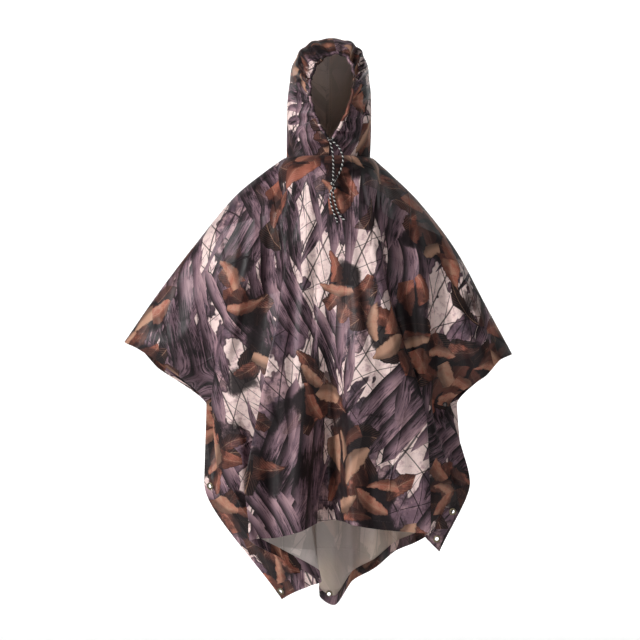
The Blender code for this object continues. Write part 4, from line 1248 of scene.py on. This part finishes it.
FLECK_PITCH = 0.0103
BRAID_PITCH = 0.0012
BRAID_RELIEF = 0.00022
braid = paint("black_braid", {"Roughness": 0.62})
cord_flat = place_on(braid, "UVMap", "UV")
cord_run, cord_round, _ = cord_flat.parts()
turned = cord_round / (math.pi * CORD_DIAMETER)
fleck = 1.0 - (cord_run / FLECK_PITCH + turned).saw().rise(0.14, 0.18)
fleck = fleck * (1.0 - (turned * 3).saw().rise(0.40, 0.48))
plait_one = ((cord_run + cord_round) * (math.pi / BRAID_PITCH)).maths("SINE")
plait_two = ((cord_run - cord_round) * (math.pi / BRAID_PITCH)).maths("SINE")
plait = plait_one * plait_two
# The braid's raised crowns are painted lighter grey than its grooves, following the same plait as
# the bump: a painted highlight on the crowns over the cord's black.
black_with_painted_crowns = cord_flat.colour(Ink(17, 16, 18)).over(Ink(46, 44, 48), plait.rise(0.1, 0.9) * 0.5)
black_with_painted_crowns.over(Ink(232, 230, 226), fleck).into("Base Color")
(plait * BRAID_RELIEF).bump().into("Normal")
for name, node, route in (("drawcord_straight", "drawcord_right", straight_route),
                          ("drawcord_bowed", "drawcord_left", bowed_route)):
    line = cord_line(route)
    strand = tube(name, line, CORD_DIAMETER / 2, CORD_SIDES, braid)
    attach(strand, "root")
    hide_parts(node)

# ------------------------------------------------------------------ seams and stitching
# The hood's centre and chin seams are felled inside, and the neck seam's allowance hangs down
# inside the neck. Dark thread runs in rows along the seams, the casing and both faces of hems.
SEAM_WIDTH = 0.007
SEAM_PLY = 0.0005
SEAM_SINK = CLOTH / 2 + PLY_GAP + SEAM_PLY / 2
NECK_SINK = 0.0008
NECK_DROPS = (-0.0006, -0.0034, -0.0062, -0.0090)
seam_reach = np.linspace(0.0, SEAM_WIDTH, 4)
for name, edge in (("hood_centre_seam", "end"), ("hood_chin_seam", "start")):
    sides = [hem_lines(*hood_grids[half_name], edge, seam_reach, SEAM_SINK)
             for half_name in HOOD_SLOTS]
    points, outs, flats = (np.concatenate([right[:, ::-1], left], axis=1)
                           for right, left in zip(*sides))
    seam = shell(name, points, outs, flats, (plain_back,), SEAM_PLY)
    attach(seam, "root")
for half_name, slot in HOOD_SLOTS.items():
    grid, square, flat_map = hood_grids[half_name]
    inner = grid[:, 0] - square[:, 0] * NECK_SINK
    points = np.stack([inner + (0.0, 0.0, drop) for drop in NECK_DROPS], axis=1)
    outs = np.repeat(square[:, :1], len(NECK_DROPS), axis=1)
    flats = np.stack([flat_map[:, 0] + (0.0, drop) for drop in NECK_DROPS], axis=1)
    name = half_name.replace("hood", "neck_seam")
    seam = shell(name, points, outs, flats, (plain_back,), SEAM_PLY)
    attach(seam, "root")

STITCH_PITCH = 0.0042
STITCH_LENGTH = 0.0033
STITCH_THICKNESS = 0.0005
STITCH_SEED = 11
HEM_ROW = 0.0205         # how far the stitches run from each kind of edge
SEAM_ROW = 0.0045
NECK_ROW = 0.0035
ON_CLOTH = CLOTH / 2 + PLY_GAP
STITCH_CLEAR = 0.0105    # no stitches under an eyelet's flange
CASING_ROWS = (2, -3)    # lines of the casing's section, on both sides of it
thread = paint("dark_thread", {"Roughness": 0.6})
thread_place = place_on(thread, "TexCoord", "Object")
fuzz = thread_place.noise(900.0, 2.0).rise(0.4, 0.7)
thread_place.colour(Ink(52, 44, 44)).over(Ink(98, 86, 84), fuzz).into("Base Color")

stitch_tree = bpy.data.node_groups.new("stitch_rows", "GeometryNodeTree")
stitch_tree.interface.new_socket("Guide", in_out="INPUT", socket_type="NodeSocketGeometry")
for name in ("Pitch", "Length", "Thickness"):
    stitch_tree.interface.new_socket(name, in_out="INPUT", socket_type="NodeSocketFloat")
stitch_tree.interface.new_socket("Seed", in_out="INPUT", socket_type="NodeSocketInt")
stitch_tree.interface.new_socket("Stitches", in_out="OUTPUT", socket_type="NodeSocketGeometry")


def stitch_node(kind, output, links, settings=()):
    """A node of the stitch tree, with its inputs set or linked; gives one of its outputs."""
    made = stitch_tree.nodes.new(kind)
    for name, value in settings:
        setattr(made, name, value)
    for name, value in links.items():
        if isinstance(value, bpy.types.NodeSocket):
            stitch_tree.links.new(value, made.inputs[name])
        else:
            made.inputs[name].default_value = value
    return made.outputs[output]


given = stitch_tree.nodes.new("NodeGroupInput").outputs
curve = stitch_node("GeometryNodeMeshToCurve", "Curve", {"Mesh": given["Guide"]})
spaced = stitch_node("GeometryNodeResampleCurve", "Curve",
                     {"Curve": curve, "Length": given["Pitch"]}, [("mode", "LENGTH")])
along = stitch_node("GeometryNodeInputTangent", "Tangent", {})
facing = stitch_node("FunctionNodeAlignRotationToVector", "Rotation", {"Vector": along},
                     [("axis", "Z")])
vary = stitch_node("FunctionNodeRandomValue", 1, {2: 0.42, 3: 0.54, "Seed": given["Seed"]},
                   [("data_type", "FLOAT")])
times = [("operation", "MULTIPLY")]
long = stitch_node("ShaderNodeMath", 0, {0: given["Length"], 1: vary}, times)
thick = stitch_node("ShaderNodeMath", 0, {0: given["Thickness"], 1: 0.5}, times)
scale = stitch_node("ShaderNodeCombineXYZ", 0, {"X": thick, "Y": thick, "Z": long})
bead = stitch_node("GeometryNodeMeshUVSphere", "Mesh", {"Segments": 6, "Rings": 4, "Radius": 1.0})
placed = stitch_node("GeometryNodeInstanceOnPoints", "Instances",
                     {"Points": spaced, "Instance": bead, "Rotation": facing, "Scale": scale})
solid = stitch_node("GeometryNodeRealizeInstances", "Geometry", {"Geometry": placed})
coloured = stitch_node("GeometryNodeSetMaterial", "Geometry",
                       {"Geometry": solid, "Material": thread})
stitch_tree.links.new(coloured, stitch_tree.nodes.new("NodeGroupOutput").inputs["Stitches"])
stitch_values = {"Pitch": STITCH_PITCH, "Length": STITCH_LENGTH, "Thickness": STITCH_THICKNESS,
                 "Seed": STITCH_SEED}


def stitched(name, rows):
    """Stitches along rows of points as one mesh, left out under the eyelets."""
    points = np.concatenate(rows)
    away = [np.linalg.norm(points - grips[grip.node][0], axis=1) for grip in eyelets]
    clear = np.min(away, axis=0) > STITCH_CLEAR
    edges, start = [], 0
    for row in rows:
        edges += [(k, k + 1) for k in range(start, start + len(row) - 1)
                  if clear[k] and clear[k + 1]]
        start += len(row)
    mesh = bpy.data.meshes.new(name + "_guide")
    mesh.from_pydata([tuple(point) for point in points], edges, [])
    guide = added(name + "_guide", mesh)
    sewing = guide.modifiers.new("stitches", "NODES")
    sewing.node_group = stitch_tree
    for item in stitch_tree.interface.items_tree:
        if item.in_out == "INPUT" and item.name in stitch_values:
            sewing[item.identifier] = stitch_values[item.name]
    made = worked(guide)
    bpy.data.objects.remove(guide)
    made.name = name
    made.shade_smooth()
    made = added(name, made)
    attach(made, "root")
    return made


def row_along(grid, square, flat_map, edge, reach, lift):
    """One row of points on the cloth at a reach from an edge, lifted off its middle."""
    return hem_lines(grid, square, flat_map, edge, np.array([reach]), -lift)[0][:, 0]


for (panel, grid, square, flat_map), folds, fine in zip(PANELS, (FRONT_FOLDS, BACK_FOLDS),
                                                        (FRONT_FINE, BACK_FINE)):
    rows = []
    for edge, below in HEM_EDGES:
        inner = CLOTH / 2 + 2 * PLY_GAP + HEM_PLY + below * (HEM_PLY + PLY_GAP)
        for lift in (ON_CLOTH, -inner):
            rows.append(row_along(grid, square, flat_map, edge, HEM_ROW, lift))
    stitched(panel + "_hem_stitches", rows)
    alongs = [fold.along for fold in folds]
    neck = np.abs(np.interp(np.arange(len(grid)) / fine, range(len(folds)), alongs)) < NECK_HALF_CUT
    row = row_along(grid[neck], square[neck], flat_map[neck], "top", NECK_ROW, ON_CLOTH)
    stitched(panel + "_neck_stitches", [row])
    panel + "_neck"
hood_rows = []
for half_name in HOOD_SLOTS:
    for edge in ("start", "end"):
        for lift in (ON_CLOTH, -SEAM_SINK - SEAM_PLY / 2):
            hood_rows.append(row_along(*hood_grids[half_name], edge, SEAM_ROW, lift))
    hood_rows.append(row_along(*hood_grids[half_name], "top", NECK_ROW, ON_CLOTH))
stitched("hood_stitches", hood_rows)
casing_rows = [casing_grid[:, k] + casing_square[:, k] * (CASING_WALL / 2 + PLY_GAP)
               for k in CASING_ROWS]
stitched("casing_stitches", casing_rows)

# ------------------------------------------------------------------ press studs, eyelets
# Pressed metal: dark plated press studs hold front and back together under the arms, and
# dull brass eyelets with a rolled rim on both faces are clenched through the cloth. Profiles
# are pairs of radius and height.
FITTING_SIDES = 40
WELD = 0.00001
EYELET_RIM = (
    (0.0092, 0.0003), (0.0090, 0.0009), (0.0081, 0.0012), (0.0070, 0.0012), (0.0060, 0.0017),
    (0.0051, 0.0018), (0.0046, 0.0012),
)
EYELET_PROFILE = (*mirrored(EYELET_RIM, (0.0045, 0.0)), (0.0054, -0.0003), (0.0054, 0.0003))
CAP_PROFILE = (
    (0.0, -0.0010), (0.0060, -0.0010), (0.0062, -0.0005), (0.0060, 0.0003), (0.0053, 0.0009),
    (0.0046, 0.0010), (0.0040, 0.0006), (0.0022, 0.0004), (0.0, 0.0003),
)


def turned_piece(name, profile, middle, axis, finish):
    """Ring or disc turned about an axis from a closed profile."""
    turn = UP.rotation_difference(Vector(axis))
    points = []
    for step in range(FITTING_SIDES):
        angle = 2 * math.pi * step / FITTING_SIDES
        for radius, height in profile:
            local = Vector((radius * math.cos(angle), radius * math.sin(angle), height))
            points.append(Vector(middle) + turn @ local)
    count = len(profile)
    faces = []
    for step in range(FITTING_SIDES):
        after = (step + 1) % FITTING_SIDES
        for k in range(count):
            m = (k + 1) % count
            faces.append((step * count + k, after * count + k, after * count + m, step * count + m))
    return surfaced(name, points, faces, (finish,), weld=WELD)


def metal(name, bright, worn, roughness):
    """Plated metal, duller and stained in places."""
    made = paint(name, {"Metallic": 1.0})
    place = place_on(made, "TexCoord", "Object")
    stain = place.noise(420.0, 3.0, 0.6).rise(0.42, 0.70)
    place.colour(bright).over(worn, stain).into("Base Color")
    (stain * 0.25 + roughness).into("Roughness")
    (place.noise(2600.0, 2.0) * 0.00002).bump().into("Normal")
    return made


dark_plate = metal("dark_plate", Ink(96, 90, 88), Ink(44, 40, 40), 0.28)
dull_brass = metal("dull_brass", Ink(150, 138, 112), Ink(84, 72, 56), 0.30)
for grip in GRIPS:
    middle, axis = grips[grip.node]
    profile, finish, slot = EYELET_PROFILE, dull_brass, "eyelet_brass"
    if grip not in eyelets:
        profile, finish, slot = CAP_PROFILE, dark_plate, "snap_metal"
    piece = turned_piece(grip.node + "_metal", profile, middle + axis * grip.lift, axis, finish)
    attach(piece, "root")
    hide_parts(grip.node)
for node in ("snap_right_stud", "snap_left_stud"):
    middle, axis = fitting_place(node, (0.0, -1.0, 0.0))
    height = float(np.ptp(solid_points(node) @ axis)) / 2
    profile = ((0.0, -height), (0.0040, -height), (0.0042, 0.0), (0.0036, height), (0.0, height))
    piece = turned_piece(node + "_metal", profile, middle, axis, dark_plate)
    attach(piece, "root")
    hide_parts(node)
